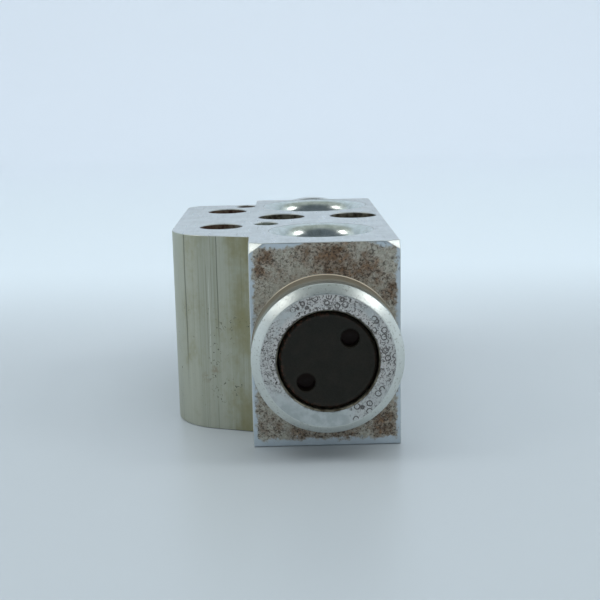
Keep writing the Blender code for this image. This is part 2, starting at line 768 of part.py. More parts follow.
def upper_case():
    """The domed cap, rolled over the lower case's flange, with the hole for charging the element."""
    seat = RIM_Y + 2 * GAP + DIAPHRAGM_THICKNESS
    skirt_end = RIM_Y - DISH_WALL
    skirt_inner = RIM_RADIUS - RIM_SKIRT_THICKNESS
    top = seat + DOME_HEIGHT
    reach = RIM_RADIUS - 2 * DISH_WALL - DOME_FLAT_RADIUS
    rise = DOME_HEIGHT - DOME_WALL
    outer = []
    inner = []
    for across, up in arc((0.0, 0.0), 1.0, math.pi / 2, 0.0, DOME_STEPS):
        outer.append((DOME_FLAT_RADIUS + across * reach, seat + DOME_WALL + up * rise))
        inner.append((DOME_FLAT_RADIUS + across * (reach - DOME_WALL), seat + up * rise))
    profile = [(CHARGE_HOLE_RADIUS, top)] + outer
    profile += [(RIM_RADIUS, seat + DOME_WALL), (RIM_RADIUS, skirt_end), (skirt_inner, skirt_end)]
    profile += [(skirt_inner, seat)] + list(reversed(inner)) + [(CHARGE_HOLE_RADIUS, top - DOME_WALL)]
    return stem_part("upper_case", profile, "zinc_plate", True)


def charge_plug():
    """The small plug welded into the cap's hole once the element has been charged."""
    top = RIM_Y + 2 * GAP + DIAPHRAGM_THICKNESS + DOME_HEIGHT
    shank = CHARGE_HOLE_RADIUS - GAP / 2
    profile = [
        (0.0, top + CHARGE_PLUG_HEIGHT),
        (CHARGE_PLUG_CROWN_RADIUS, top + CHARGE_PLUG_HEIGHT),
        (CHARGE_PLUG_RADIUS, top + CHARGE_PLUG_HEIGHT / 2),
        (CHARGE_PLUG_RADIUS, top + GAP),
        (shank, top + GAP),
        (shank, top - DOME_WALL),
        (0.0, top - DOME_WALL),
    ]
    return stem_part("charge_plug", profile, "stainless", steps=FINE_SEGMENTS)


def case_o_ring():
    radius = NECK_RADIUS + SEAL_GAP + CASE_SEAL_SECTION
    y = HEX_Y[0] - SEAL_GAP - CASE_SEAL_SECTION
    profile = round_section(radius, CASE_SEAL_SECTION, y)
    return stem_part("case_o_ring", profile, "green_rubber", True, FINE_SEGMENTS)


def build():
    valve_body()
    adjusting_plug()
    plug_o_ring()
    spring_seat()
    superheat_spring()
    ball_carrier()
    anti_vibration_spring()
    valve_ball()
    orifice_seat()
    push_rod()
    guide_bush()
    rod_o_ring()
    seal_retainer()
    sensing_rod()
    diaphragm_stopper()
    lower_case()
    diaphragm()
    upper_case()
    charge_plug()
    case_o_ring()


clear_scene()
PARTS = make_collection("expansion_valve")
CUTTERS = make_collection("tools")
BODY_CUTTERS = make_collection("body_bores_ports_and_holes")
build()
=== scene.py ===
"""Looks of a block-type expansion valve: fine meshes round the CAD frame, node materials, a pale studio and the camera.

Lengths are in metres in the frame's axes: +Z up, the stem along Y, the adjuster at -Y, the power element at +Y.
"""

import json
import math

import bmesh
import bpy
from mathutils import Matrix, Vector

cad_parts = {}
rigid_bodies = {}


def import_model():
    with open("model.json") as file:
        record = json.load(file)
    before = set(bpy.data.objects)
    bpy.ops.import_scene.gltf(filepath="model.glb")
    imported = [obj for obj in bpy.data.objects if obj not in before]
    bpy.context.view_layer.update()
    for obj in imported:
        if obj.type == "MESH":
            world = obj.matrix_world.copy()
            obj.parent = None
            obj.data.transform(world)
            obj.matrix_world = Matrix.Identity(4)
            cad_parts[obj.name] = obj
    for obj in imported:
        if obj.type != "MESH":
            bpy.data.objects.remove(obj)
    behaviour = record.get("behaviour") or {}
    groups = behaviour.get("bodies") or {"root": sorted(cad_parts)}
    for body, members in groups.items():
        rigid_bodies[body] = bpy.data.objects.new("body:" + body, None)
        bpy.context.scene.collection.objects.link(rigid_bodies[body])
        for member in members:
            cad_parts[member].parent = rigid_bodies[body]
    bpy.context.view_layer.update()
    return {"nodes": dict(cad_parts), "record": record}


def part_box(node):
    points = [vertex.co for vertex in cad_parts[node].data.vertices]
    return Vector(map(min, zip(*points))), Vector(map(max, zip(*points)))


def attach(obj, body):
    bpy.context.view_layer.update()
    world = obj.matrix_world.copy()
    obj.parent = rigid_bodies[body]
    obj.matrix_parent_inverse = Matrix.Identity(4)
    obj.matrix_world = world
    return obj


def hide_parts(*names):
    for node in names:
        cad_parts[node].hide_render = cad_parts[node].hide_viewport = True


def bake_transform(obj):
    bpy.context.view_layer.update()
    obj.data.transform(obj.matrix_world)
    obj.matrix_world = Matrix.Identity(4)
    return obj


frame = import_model()

# Places taken from the frame -------------------------------------------------------------------------
body_low, body_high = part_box("valve_body")
plug_low, plug_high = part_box("adjusting_plug")
HALF_WIDTH = body_high.x
HEIGHT = body_high.z
REAR_Y = body_high.y
BOSS_FRONT_Y = body_low.y
LOBE_SIDE_X = body_low.x
AXIS_Z = (plug_low.z + plug_high.z) / 2
PLUG_RADIUS = (plug_high.x - plug_low.x) / 2
PLUG_FRONT_Y = plug_low.y
PLUG_END_Y = plug_high.y

# Sizes of the body's features ----------------------------------------------------------------------
BOSS_LENGTH = 0.00875
FRONT_Y = BOSS_FRONT_Y + BOSS_LENGTH
BOSS_RADIUS = 0.0118
BOSS_CHAMFER = 0.0014
BOSS_FILLET = 0.00018
THREAD_BORE_RADIUS = 0.00780
THREAD_BORE_END_Y = -0.0350
SEAL_BORE_RADIUS = 0.0072
SEAL_BORE_END_Y = -0.0295
CHAMBER_RADIUS = 0.0056
CHAMBER_END_Y = -0.0135
SEAT_BORE_RADIUS = 0.0042
SEAT_BORE_END_Y = -0.0115
THROAT_RADIUS = 0.0022
BUSH_BORE_RADIUS = 0.0021
BUSH_BORE_END_Y = -0.0014
ROD_BORE_RADIUS = 0.0013
GLAND_RADIUS = 0.0030
GLAND_START_Y = 0.0062
NECK_BORE_RADIUS = 0.0093
NECK_BORE_START_Y = 0.0226
SEAL_COUNTERBORE_RADIUS = 0.0110
SEAL_COUNTERBORE_DEPTH = 0.0018
LOBE_REAR_Y = 0.0220
LOBE_REAR_RADIUS = 0.0035
LOBE_FRONT_RADIUS = 0.0100
LOBE_FRONT_CENTRE_Y = -0.0133
LOBE_FRONT_SWEEP = math.radians(70)
LEFT_CORNER = (0.0026, 0.0016, 0.0018)
RIGHT_CORNER = (0.0025, 0.0012, 0.0015)
PORT_OFFSET_Y = 0.0186
MOUTH_CURVE = 0.00285
MOUTH_LIP_SLOPE = math.radians(10)
SPIGOT_BORE_DEPTH = 0.0070
OUTLET_PORT_Y = -0.0115
OUTLET_PASSAGE_Y = -0.0083
OUTLET_PASSAGE_RADIUS = 0.0030
OUTLET_PASSAGE_TOP_Z = 0.0190
LIQUID_MOUTH = 0.00895
LIQUID_PASSAGE = 0.0040
SUCTION_MOUTH = 0.01045
SUCTION_PASSAGE = 0.0065
PORTS = {
    "inlet_port": (LIQUID_MOUTH, LIQUID_PASSAGE, HEIGHT - AXIS_Z, -PORT_OFFSET_Y, HEIGHT),
    "outlet_port": (LIQUID_MOUTH, LIQUID_PASSAGE, 0.0, OUTLET_PORT_Y, 0.0),
    "suction_upper": (SUCTION_MOUTH, SUCTION_PASSAGE, HEIGHT - AXIS_Z, PORT_OFFSET_Y, HEIGHT),
    "suction_lower": (SUCTION_MOUTH, SUCTION_PASSAGE, AXIS_Z + 0.001, PORT_OFFSET_Y, 0.0),
}
HOLES = {
    "lobe_front": (-0.0173, -0.0114, 0.00375, None),
    "lobe_rear": (-0.0173, 0.0114, 0.00375, None),
    "web_left": (-0.0067, 0.0010, 0.00435, None),
    "web_right": (0.0067, 0.0010, 0.00435, None),
    "locating_front": (-0.0094, -0.0089, 0.0022, 0.0060),
    "locating_rear": (-0.0139, 0.0192, 0.0020, 0.0060),
}

MILLIMETRES = 1000  # in a metre; the materials measure in millimetres

# Mesh settings ---------------------------------------------------------------------------------------
SEGMENTS = 128
SMALL_SEGMENTS = 64
EDGE_ROUND = 0.00022
MOUTH_ROUND = 0.00016
OVERSHOOT = 0.0010
WELD = 0.000002
SMOOTH_ANGLE = math.radians(38)


# Mesh tools ------------------------------------------------------------------------------------------


def arc(centre, radius, start, end, steps):
    points = []
    for i in range(steps + 1):
        angle = start + (end - start) * i / steps
        points.append((centre[0] + radius * math.cos(angle), centre[1] + radius * math.sin(angle)))
    return points


def rounded(points, radius, closed=False, steps=3):
    """The polyline with each corner replaced by a small curve, no longer than half its shorter side."""
    count = len(points)
    result = []
    for i, point in enumerate(points):
        corner = Vector(point)
        if not closed and i in (0, count - 1):
            result.append(tuple(corner))
            continue
        before = Vector(points[i - 1]) - corner
        after = Vector(points[(i + 1) % count]) - corner
        straight = before.length < WELD or after.length < WELD or before.angle(after) > math.radians(165)
        if straight:
            result.append(tuple(corner))
            continue
        reach = min(radius, 0.45 * before.length, 0.45 * after.length)
        first = corner + before.normalized() * reach
        last = corner + after.normalized() * reach
        for k in range(steps + 1):
            t = k / steps
            result.append(tuple(first * (1 - t) ** 2 + corner * 2 * t * (1 - t) + last * t * t))
    return result


def finish_mesh(shape, name, smooth=True):
    """Weld, turn the faces out, and make the object."""
    bmesh.ops.remove_doubles(shape, verts=shape.verts, dist=WELD)
    bmesh.ops.recalc_face_normals(shape, faces=shape.faces)
    mesh = bpy.data.meshes.new(name)
    shape.to_mesh(mesh)
    shape.free()
    obj = bpy.data.objects.new(name, mesh)
    bpy.context.scene.collection.objects.link(obj)
    if smooth:
        soften(obj)
    return obj


def soften(obj):
    """Smooth shading with sharp edges kept, and normals that leave the large faces flat."""
    obj.data.shade_smooth()
    obj.data.set_sharp_from_angle(angle=SMOOTH_ANGLE)
    weighting = obj.modifiers.new("face_weighting", "WEIGHTED_NORMAL")
    weighting.keep_sharp = True
    weighting.weight = 80
    return obj


def revolved(profile, segments=SEGMENTS, closed=False):
    """A bmesh turned about Z from (radius, height) points; a radius of 0 is a point on the axis."""
    shape = bmesh.new()
    rings = []
    for radius, height in profile:
        if radius < WELD:
            rings.append([shape.verts.new((0.0, 0.0, height))])
            continue
        ring = []
        for i in range(segments):
            angle = 2 * math.pi * i / segments
            ring.append(shape.verts.new((radius * math.cos(angle), radius * math.sin(angle), height)))
        rings.append(ring)
    pairs = list(zip(rings, rings[1:]))
    if closed:
        pairs.append((rings[-1], rings[0]))
    for upper, lower in pairs:
        for i in range(segments):
            k = (i + 1) % segments
            corners = [upper[i % len(upper)], upper[k % len(upper)], lower[k % len(lower)], lower[i % len(lower)]]
            unique = list(dict.fromkeys(corners))
            if len(unique) > 2:
                shape.faces.new(unique)
    return shape


TO_STEM = Matrix.Translation((0.0, 0.0, AXIS_Z)) @ Matrix.Rotation(-math.pi / 2, 4, "X")


def stem_shape(profile, segments=SEGMENTS, closed=False):
    """A turned bmesh laid along the stem: heights in the profile are Y in the frame."""
    shape = revolved(profile, segments, closed)
    shape.transform(TO_STEM)
    return shape


def stem_piece(name, profile, segments=SEGMENTS, closed=False, edge=EDGE_ROUND):
    shape = stem_shape(rounded(profile, edge, closed), segments, closed)
    return finish_mesh(shape, name)


def tool(shape, name, collection):
    obj = finish_mesh(shape, name, smooth=False)
    bpy.context.scene.collection.objects.unlink(obj)
    collection.objects.link(obj)
    return obj


def boolean(obj, other, operation):
    """Combine obj with one object or a whole collection, and keep only the resulting mesh."""
    step = obj.modifiers.new("combine", "BOOLEAN")
    step.operation = operation
    step.solver = "EXACT"
    if isinstance(other, bpy.types.Collection):
        step.operand_type = "COLLECTION"
        step.collection = other
        tools = list(other.objects)
    else:
        step.object = other
        tools = [other]
    bpy.context.view_layer.update()
    evaluated = obj.evaluated_get(bpy.context.evaluated_depsgraph_get())
    mesh = bpy.data.meshes.new_from_object(evaluated)
    obj.modifiers.remove(step)
    obj.data = mesh
    for item in tools:
        bpy.data.objects.remove(item, do_unlink=True)
    return obj


def tool_collection(name):
    collection = bpy.data.collections.new(name)
    bpy.context.scene.collection.children.link(collection)
    return collection


# Valve body --------------------------------------------------------------------------------------------


def body_outline():
    rear_corner = (LOBE_SIDE_X + LOBE_REAR_RADIUS, LOBE_REAR_Y - LOBE_REAR_RADIUS)
    front_corner = (LOBE_SIDE_X + LOBE_FRONT_RADIUS, LOBE_FRONT_CENTRE_Y)
    points = [(HALF_WIDTH, FRONT_Y), (HALF_WIDTH, REAR_Y), (-HALF_WIDTH, REAR_Y), (-HALF_WIDTH, LOBE_REAR_Y)]
    points += arc(rear_corner, LOBE_REAR_RADIUS, math.pi / 2, math.pi, 16)
    points += arc(front_corner, LOBE_FRONT_RADIUS, math.pi, math.pi + LOBE_FRONT_SWEEP, 32)
    last_x, last_y = points[-1]
    points.append((-HALF_WIDTH, last_y - (-HALF_WIDTH - last_x) / math.tan(LOBE_FRONT_SWEEP)))
    points.append((-HALF_WIDTH, FRONT_Y))
    return points


def truncate_corner(shape, corner, size, side):
    across, along, down = size
    on_width = corner + Vector((-side * across, 0.0, 0.0))
    on_length = corner + Vector((0.0, along, 0.0))
    on_height = corner + Vector((0.0, 0.0, -down))
    normal = (on_length - on_width).cross(on_height - on_width).normalized()
    if normal.dot(corner - on_width) < 0:
        normal = -normal
    everything = shape.verts[:] + shape.edges[:] + shape.faces[:]
    bmesh.ops.bisect_plane(shape, geom=everything, plane_co=on_width, plane_no=normal, clear_outer=True)
    bmesh.ops.holes_fill(shape, edges=[edge for edge in shape.edges if edge.is_boundary])
    bmesh.ops.recalc_face_normals(shape, faces=shape.faces)


def body_block():
    """The extruded block and lobe with its cut corners and finely rounded edges."""
    shape = bmesh.new()
    base = [shape.verts.new((x, y, 0.0)) for x, y in body_outline()]
    face = shape.faces.new(base)
    raised = bmesh.ops.extrude_face_region(shape, geom=[face])["geom"]
    top = [item for item in raised if isinstance(item, bmesh.types.BMVert)]
    bmesh.ops.translate(shape, vec=(0.0, 0.0, HEIGHT), verts=top)
    bmesh.ops.recalc_face_normals(shape, faces=shape.faces)
    truncate_corner(shape, Vector((-HALF_WIDTH, FRONT_Y, HEIGHT)), LEFT_CORNER, -1)
    truncate_corner(shape, Vector((HALF_WIDTH, FRONT_Y, HEIGHT)), RIGHT_CORNER, 1)
    sharp = [edge for edge in shape.edges if edge.calc_face_angle(0.0) > math.radians(20)]
    bmesh.ops.bevel(
        shape, geom=sharp, offset=EDGE_ROUND, segments=3, profile=0.5, affect="EDGES", clamp_overlap=True
    )
    return finish_mesh(shape, "block_and_lobe", smooth=False)


def boss_tool():
    """The boss, with a small fillet at its root that stays within the block's width."""
    front = BOSS_FRONT_Y
    profile = [(BOSS_RADIUS, front + BOSS_CHAMFER), (BOSS_RADIUS - BOSS_CHAMFER, front), (0.0, front)]
    root = arc((BOSS_RADIUS + BOSS_FILLET, FRONT_Y - BOSS_FILLET), BOSS_FILLET, math.pi / 2, math.pi, 5)
    start = [(0.0, FRONT_Y + OVERSHOOT), (BOSS_RADIUS + BOSS_FILLET, FRONT_Y + OVERSHOOT)]
    return stem_shape(start + rounded(root + profile, MOUTH_ROUND), 2 * SEGMENTS)


def adjuster_bore():
    front = BOSS_FRONT_Y
    profile = [
        (0.0, OUTLET_PASSAGE_Y - OVERSHOOT),
        (THROAT_RADIUS, OUTLET_PASSAGE_Y - OVERSHOOT),
        (THROAT_RADIUS, SEAT_BORE_END_Y),
        (SEAT_BORE_RADIUS, SEAT_BORE_END_Y),
        (SEAT_BORE_RADIUS, CHAMBER_END_Y),
        (CHAMBER_RADIUS, CHAMBER_END_Y),
        (CHAMBER_RADIUS, SEAL_BORE_END_Y),
        (SEAL_BORE_RADIUS, SEAL_BORE_END_Y),
        (SEAL_BORE_RADIUS, THREAD_BORE_END_Y),
        (THREAD_BORE_RADIUS, THREAD_BORE_END_Y),
        (THREAD_BORE_RADIUS, front + MOUTH_ROUND),
        (THREAD_BORE_RADIUS + MOUTH_ROUND, front),
        (THREAD_BORE_RADIUS + MOUTH_ROUND, front - OVERSHOOT),
        (0.0, front - OVERSHOOT),
    ]
    return stem_shape(profile)


def rod_bore():
    profile = [
        (0.0, PORT_OFFSET_Y),
        (GLAND_RADIUS, PORT_OFFSET_Y),
        (GLAND_RADIUS, GLAND_START_Y),
        (ROD_BORE_RADIUS, GLAND_START_Y),
        (ROD_BORE_RADIUS, BUSH_BORE_END_Y),
        (BUSH_BORE_RADIUS, BUSH_BORE_END_Y),
        (BUSH_BORE_RADIUS, OUTLET_PASSAGE_Y + OVERSHOOT),
        (0.0, OUTLET_PASSAGE_Y + OVERSHOOT),
    ]
    return stem_shape(profile, SMALL_SEGMENTS)


def neck_bore():
    profile = [
        (0.0, REAR_Y + OVERSHOOT),
        (SEAL_COUNTERBORE_RADIUS, REAR_Y + OVERSHOOT),
        (SEAL_COUNTERBORE_RADIUS, REAR_Y - SEAL_COUNTERBORE_DEPTH),
        (NECK_BORE_RADIUS, REAR_Y - SEAL_COUNTERBORE_DEPTH),
        (NECK_BORE_RADIUS, NECK_BORE_START_Y),
        (0.0, NECK_BORE_START_Y),
    ]
    return stem_shape(profile)


def port_tool(mouth_radius, passage_radius, passage_depth, centre_y, level):
    """A rolled mouth that steepens from its lip to the spigot bore, and the straight passage below it."""
    profile = [(0.0, OVERSHOOT), (mouth_radius, OVERSHOOT)]
    steps = 28
    for i in range(steps + 1):
        slope = MOUTH_LIP_SLOPE + (math.pi / 2 - MOUTH_LIP_SLOPE) * i / steps
        across = MOUTH_CURVE * (math.sin(slope) - math.sin(MOUTH_LIP_SLOPE))
        down = MOUTH_CURVE * (math.cos(MOUTH_LIP_SLOPE) - math.cos(slope))
        profile.append((mouth_radius - across, -down))
    profile.append((profile[-1][0], -SPIGOT_BORE_DEPTH))
    if passage_depth > SPIGOT_BORE_DEPTH:
        profile += [(passage_radius, -SPIGOT_BORE_DEPTH), (passage_radius, -passage_depth)]
    profile.append((0.0, profile[-1][1]))
    shape = revolved(profile)
    turn = Matrix.Rotation(0.0 if level else math.pi, 4, "X")
    shape.transform(Matrix.Translation((0.0, centre_y, level)) @ turn)
    return shape


def hole_tool(x, y, radius, depth):
    """A drilled hole with a broken edge at each mouth; a blind one has a drill point."""
    flare = radius + MOUTH_ROUND
    top = HEIGHT + OVERSHOOT
    profile = [(0.0, top), (flare, top), (flare, HEIGHT), (radius, HEIGHT - MOUTH_ROUND)]
    if depth is None:
        profile += [(radius, MOUTH_ROUND), (flare, 0.0), (flare, -OVERSHOOT), (0.0, -OVERSHOOT)]
    else:
        floor = HEIGHT - depth
        profile += [(radius, floor), (0.0, floor - radius * 0.3)]
    shape = revolved(profile, SMALL_SEGMENTS)
    shape.transform(Matrix.Translation((x, y, 0.0)))
    return shape


def valve_body():
    body = body_block()
    body.name = "machined_body"
    boolean(body, tool(boss_tool(), "boss", tool_collection("boss_tools")), "UNION")
    tools = tool_collection("body_tools")
    tool(adjuster_bore(), "adjuster_bore", tools)
    tool(neck_bore(), "neck_bore", tools)
    tool(rod_bore(), "rod_bore", tools)
    for name, port in PORTS.items():
        tool(port_tool(*port), name, tools)
    outlet = [
        (0.0, OUTLET_PASSAGE_TOP_Z),
        (OUTLET_PASSAGE_RADIUS, OUTLET_PASSAGE_TOP_Z),
        (OUTLET_PASSAGE_RADIUS, SPIGOT_BORE_DEPTH - OVERSHOOT),
        (0.0, SPIGOT_BORE_DEPTH - OVERSHOOT),
    ]
    shape = revolved(outlet, SMALL_SEGMENTS)
    shape.transform(Matrix.Translation((0.0, OUTLET_PASSAGE_Y, 0.0)))
    tool(shape, "outlet_passage", tools)
    for name, hole in HOLES.items():
        tool(hole_tool(*hole), name, tools)
    boolean(body, tools, "DIFFERENCE")
    paint_body(body)
    soften(body)
    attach(body, "block")
    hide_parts("valve_body")
    return body


BODY_ZONES = ["milled", "front", "boss_face", "boss_bevel", "boss_side", "lobe_side", "port_seat", "drilled"]


def body_zone(centre, normal):
    """Which surface of the body a face belongs to, from where it is and the way it faces."""
    radial = math.hypot(centre.x, centre.z - AXIS_Z)
    tiny = 0.0001
    for x, y, radius, _ in HOLES.values():
        if math.hypot(centre.x - x, centre.y - y) < radius + tiny and centre.z < HEIGHT - tiny:
            return "drilled"
    for mouth_radius, _, _, centre_y, level in PORTS.values():
        sunk = abs(centre.z - level)
        if math.hypot(centre.x, centre.y - centre_y) < mouth_radius and tiny / 10 < sunk < SPIGOT_BORE_DEPTH:
            return "port_seat"
    if centre.y < FRONT_Y - tiny / 10:
        # The thread bore's rounded mouth takes the dark bore finish, which paints the shade of the gap round the plug
        # over its bright edge.
        in_mouth = radial < THREAD_BORE_RADIUS + 1.5 * MOUTH_ROUND and normal.y > -0.97
        if in_mouth or radial < THREAD_BORE_RADIUS:
            return "drilled"
        if normal.y < -0.95:
            return "boss_face"
        return "boss_bevel" if normal.y < -0.3 and centre.y < FRONT_Y - BOSS_LENGTH / 2 else "boss_side"
    if normal.y < -0.8 and centre.y < FRONT_Y + tiny:
        return "front"
    outer = max(abs(centre.x) - HALF_WIDTH, FRONT_Y - centre.y, centre.y - REAR_Y, -centre.z, centre.z - HEIGHT)
    if outer < -0.0012 and centre.x > -HALF_WIDTH:
        return "drilled"
    if min(abs(normal.x), -normal.y, normal.z) > 0.3 and centre.y < FRONT_Y + LEFT_CORNER[1]:
        return "boss_bevel"
    if centre.x < -HALF_WIDTH - tiny and abs(normal.z) < 0.5:
        return "lobe_side"
    return "milled"


def paint_body(body):
    makers = {
        "milled": milled_face,
        "front": corroded_front,
        "boss_face": boss_face,
        "boss_bevel": boss_bevel,
        "boss_side": boss_side,
        "lobe_side": extruded_side,
        "port_seat": port_seat,
        "drilled": drilled_hole,
    }
    body.data.materials.clear()
    for zone in BODY_ZONES:
        body.data.materials.append(makers[zone]())
    for polygon in body.data.polygons:
        polygon.material_index = BODY_ZONES.index(body_zone(polygon.center, polygon.normal))


# Colours of the body's stains and films ------------------------------------------------------------------

FRONT_CLEAN_DARK = (0.50, 0.555, 0.60)
FRONT_CLEAN_LIGHT = (0.60, 0.665, 0.71)
FRONT_FILM_GREEN = (0.415, 0.390, 0.315)
FRONT_FILM_LIGHT = (0.56, 0.525, 0.435)
FRONT_BROWN = (0.148, 0.072, 0.027)
FRONT_RUST = (0.28, 0.128, 0.042)
FRONT_SPECK = (0.042, 0.030, 0.021)
RING_DARK = (0.415, 0.445, 0.44)
RING_LIGHT = (0.51, 0.54, 0.535)
RING_FILM_DARK = (0.57, 0.545, 0.52)
RING_FILM_LIGHT = (0.72, 0.685, 0.66)
LOBE_DARK = (0.34, 0.35, 0.27)
LOBE_LIGHT = (0.455, 0.46, 0.375)
LOBE_OLIVE = (0.29, 0.265, 0.135)


# Material tools --------------------------------------------------------------------------------------------


class Surface:
    """A node material being built.  Positions inside it are object coordinates in millimetres."""

    def __init__(self, name, roughness=0.4, metallic=1.0, colour=(0.5, 0.5, 0.5)):
        self.material = bpy.data.materials.new(name)
        self.material.use_nodes = True
        self.tree = self.material.node_tree
        self.shader = self.tree.nodes["Principled BSDF"]
        self.shader.inputs["Metallic"].default_value = metallic
        self.shader.inputs["Roughness"].default_value = roughness
        self.shader.inputs["Base Color"].default_value = (*colour, 1.0)
        coordinates = self.tree.nodes.new("ShaderNodeTexCoord")
        scaled = self.node("ShaderNodeVectorMath", operation="SCALE")
        scaled.inputs["Scale"].default_value = 1000.0
        self.tree.links.new(coordinates.outputs["Object"], scaled.inputs[0])
        self.place = scaled.outputs[0]
        split = self.node("ShaderNodeSeparateXYZ")
        self.tree.links.new(self.place, split.inputs[0])
        self.x, self.y, self.z = split.outputs

    def node(self, kind, **settings):
        made = self.tree.nodes.new(kind)
        for key, value in settings.items():
            setattr(made, key, value)
        return made

    def put(self, socket, value):
        if isinstance(value, bpy.types.NodeSocket):
            self.tree.links.new(value, socket)
        elif isinstance(value, tuple) and len(value) == 3 and socket.type == "RGBA":
            socket.default_value = (*value, 1.0)
        else:
            socket.default_value = value

    def math(self, operation, first, second=0.0):
        made = self.node("ShaderNodeMath", operation=operation)
        self.put(made.inputs[0], first)
        self.put(made.inputs[1], second)
        return made.outputs[0]

    def add(self, first, second):
        return self.math("ADD", first, second)

    def times(self, first, second):
        return self.math("MULTIPLY", first, second)

    def most(self, first, second):
        return self.math("MAXIMUM", first, second)

    def fade(self, value, low, high, to_low=0.0, to_high=1.0):
        """Smooth step of value from low to high; low may be the larger."""
        made = self.node("ShaderNodeMapRange", interpolation_type="SMOOTHSTEP")
        self.put(made.inputs["Value"], value)
        if low <= high:
            limits = (low, high, to_low, to_high)
        else:
            limits = (high, low, to_high, to_low)
        for key, number in zip(("From Min", "From Max", "To Min", "To Max"), limits):
            made.inputs[key].default_value = number
        return made.outputs["Result"]

    def stretched(self, scale, shift=(0.0, 0.0, 0.0)):
        made = self.node("ShaderNodeMapping")
        made.inputs["Scale"].default_value = scale
        made.inputs["Location"].default_value = shift
        self.put(made.inputs["Vector"], self.place)
        return made.outputs[0]

    def noise(self, scale, detail=3.0, roughness=0.55, vector=None, distortion=0.0):
        made = self.node("ShaderNodeTexNoise")
        self.put(made.inputs["Vector"], vector or self.place)
        made.inputs["Scale"].default_value = scale
        made.inputs["Detail"].default_value = detail
        made.inputs["Roughness"].default_value = roughness
        made.inputs["Distortion"].default_value = distortion
        return made.outputs["Fac"]

    def cells(self, scale, vector=None, randomness=1.0):
        """Distance to the nearest cell point, and that cell's own random number."""
        made = self.node("ShaderNodeTexVoronoi", feature="F1")
        self.put(made.inputs["Vector"], vector or self.place)
        made.inputs["Scale"].default_value = scale
        made.inputs["Randomness"].default_value = randomness
        split = self.node("ShaderNodeSeparateColor")
        self.put(split.inputs[0], made.outputs["Color"])
        return made.outputs["Distance"], split.outputs[0]

    def spot(self, x, y, z, inner, outer):
        """1 within inner millimetres of a point, fading to 0 at outer."""
        made = self.node("ShaderNodeVectorMath", operation="DISTANCE")
        self.put(made.inputs[0], self.place)
        made.inputs[1].default_value = (x, y, z)
        return self.fade(made.outputs["Value"], outer, inner)

    def radial(self):
        """Distance from the stem's axis, in millimetres."""
        up = self.add(self.z, -AXIS_Z * MILLIMETRES)
        return self.math("SQRT", self.add(self.times(self.x, self.x), self.times(up, up)))

    def mix(self, share, first, second):
        made = self.node("ShaderNodeMix", data_type="RGBA")
        self.put(made.inputs["Factor"], share)
        self.put(made.inputs[6], first)
        self.put(made.inputs[7], second)
        return made.outputs[2]

    def colour(self, value):
        self.put(self.shader.inputs["Base Color"], value)

    def roughness(self, value):
        self.put(self.shader.inputs["Roughness"], value)

    def metallic(self, value):
        self.put(self.shader.inputs["Metallic"], value)

    def bump(self, height, depth):
        """Raise the surface by height, 0 to 1, times depth millimetres."""
        made = self.node("ShaderNodeBump")
        made.inputs["Strength"].default_value = 1.0
        made.inputs["Distance"].default_value = depth * 0.001
        self.put(made.inputs["Height"], height)
        self.put(self.shader.inputs["Normal"], made.outputs["Normal"])


def pits(surface, scale, size, share):
    """Round pits in some of the cells: 1 inside a pit."""
    distance, chance = surface.cells(scale)
    return surface.times(surface.fade(distance, size, size * 0.6), surface.fade(chance, 1 - share, 1.02 - share))


def rings(surface, scale, size, width, share):
    """Ring-shaped etch marks in some of the cells: 1 on a ring."""
    wobble = surface.noise(3.0, 2.0)
    distance, chance = surface.cells(scale)
    uneven = surface.add(distance, surface.times(surface.add(wobble, -0.5), size * 0.6))
    away = surface.math("ABSOLUTE", surface.add(uneven, -size))
    return surface.times(surface.fade(away, width, width * 0.3), surface.fade(chance, 1 - share, 1.02 - share))


def squiggles(surface, scale, width, share):
    """Short wandering etch lines: 1 on a line."""
    field = surface.noise(scale, 1.0, 0.5, distortion=0.5)
    away = surface.math("ABSOLUTE", surface.add(field, -0.5))
    broken = surface.noise(scale * 1.4, 2.0, vector=surface.stretched((1.0, 1.0, 1.0), (7.0, 3.0, 5.0)))
    return surface.times(surface.fade(away, width, width * 0.35), surface.fade(broken, 0.62 - share, 0.66 - share))


# Body materials --------------------------------------------------------------------------------------------


def milled_face():
    s = Surface("milled_aluminium", roughness=0.34)
    grain = s.noise(2.2, 4.0, vector=s.stretched((1.0, 0.10, 1.0)))
    mottle = s.noise(0.30, 4.0)
    light = s.mix(s.fade(mottle, 0.35, 0.65), (0.60, 0.61, 0.59), (0.67, 0.685, 0.67))
    light = s.mix(s.fade(s.y, -12.0, 38.0, 0.0, 0.40), light, (0.40, 0.405, 0.38))
    marks = pits(s, 0.7, 0.10, 0.22)
    marks = s.most(marks, s.times(rings(s, 1.1, 0.28, 0.12, 0.8), s.spot(8.6, -17.5, 33.4, 1.0, 3.6)))
    scratch = hairlines(s, 0.9, 0.72)
    s.colour(s.mix(s.most(marks, s.times(scratch, 0.5)), light, (0.36, 0.35, 0.32)))
    s.roughness(s.fade(grain, 0.3, 0.7, 0.27, 0.40))
    fine = s.noise(9.0, 3.0, vector=s.stretched((1.0, 0.05, 1.0)))
    s.bump(s.add(s.times(fine, 0.4), s.times(marks, -0.8)), 0.012)
    return s.material


def hairlines(surface, scale, limit):
    """Thin random scratches, longest along Y."""
    vector = surface.stretched((1.0, 0.05, 1.0), (5.0, 2.0, 0.0))
    fine = surface.noise(scale * 3.0, 1.0, vector=vector, distortion=0.4)
    return surface.fade(fine, limit, limit + 0.03)


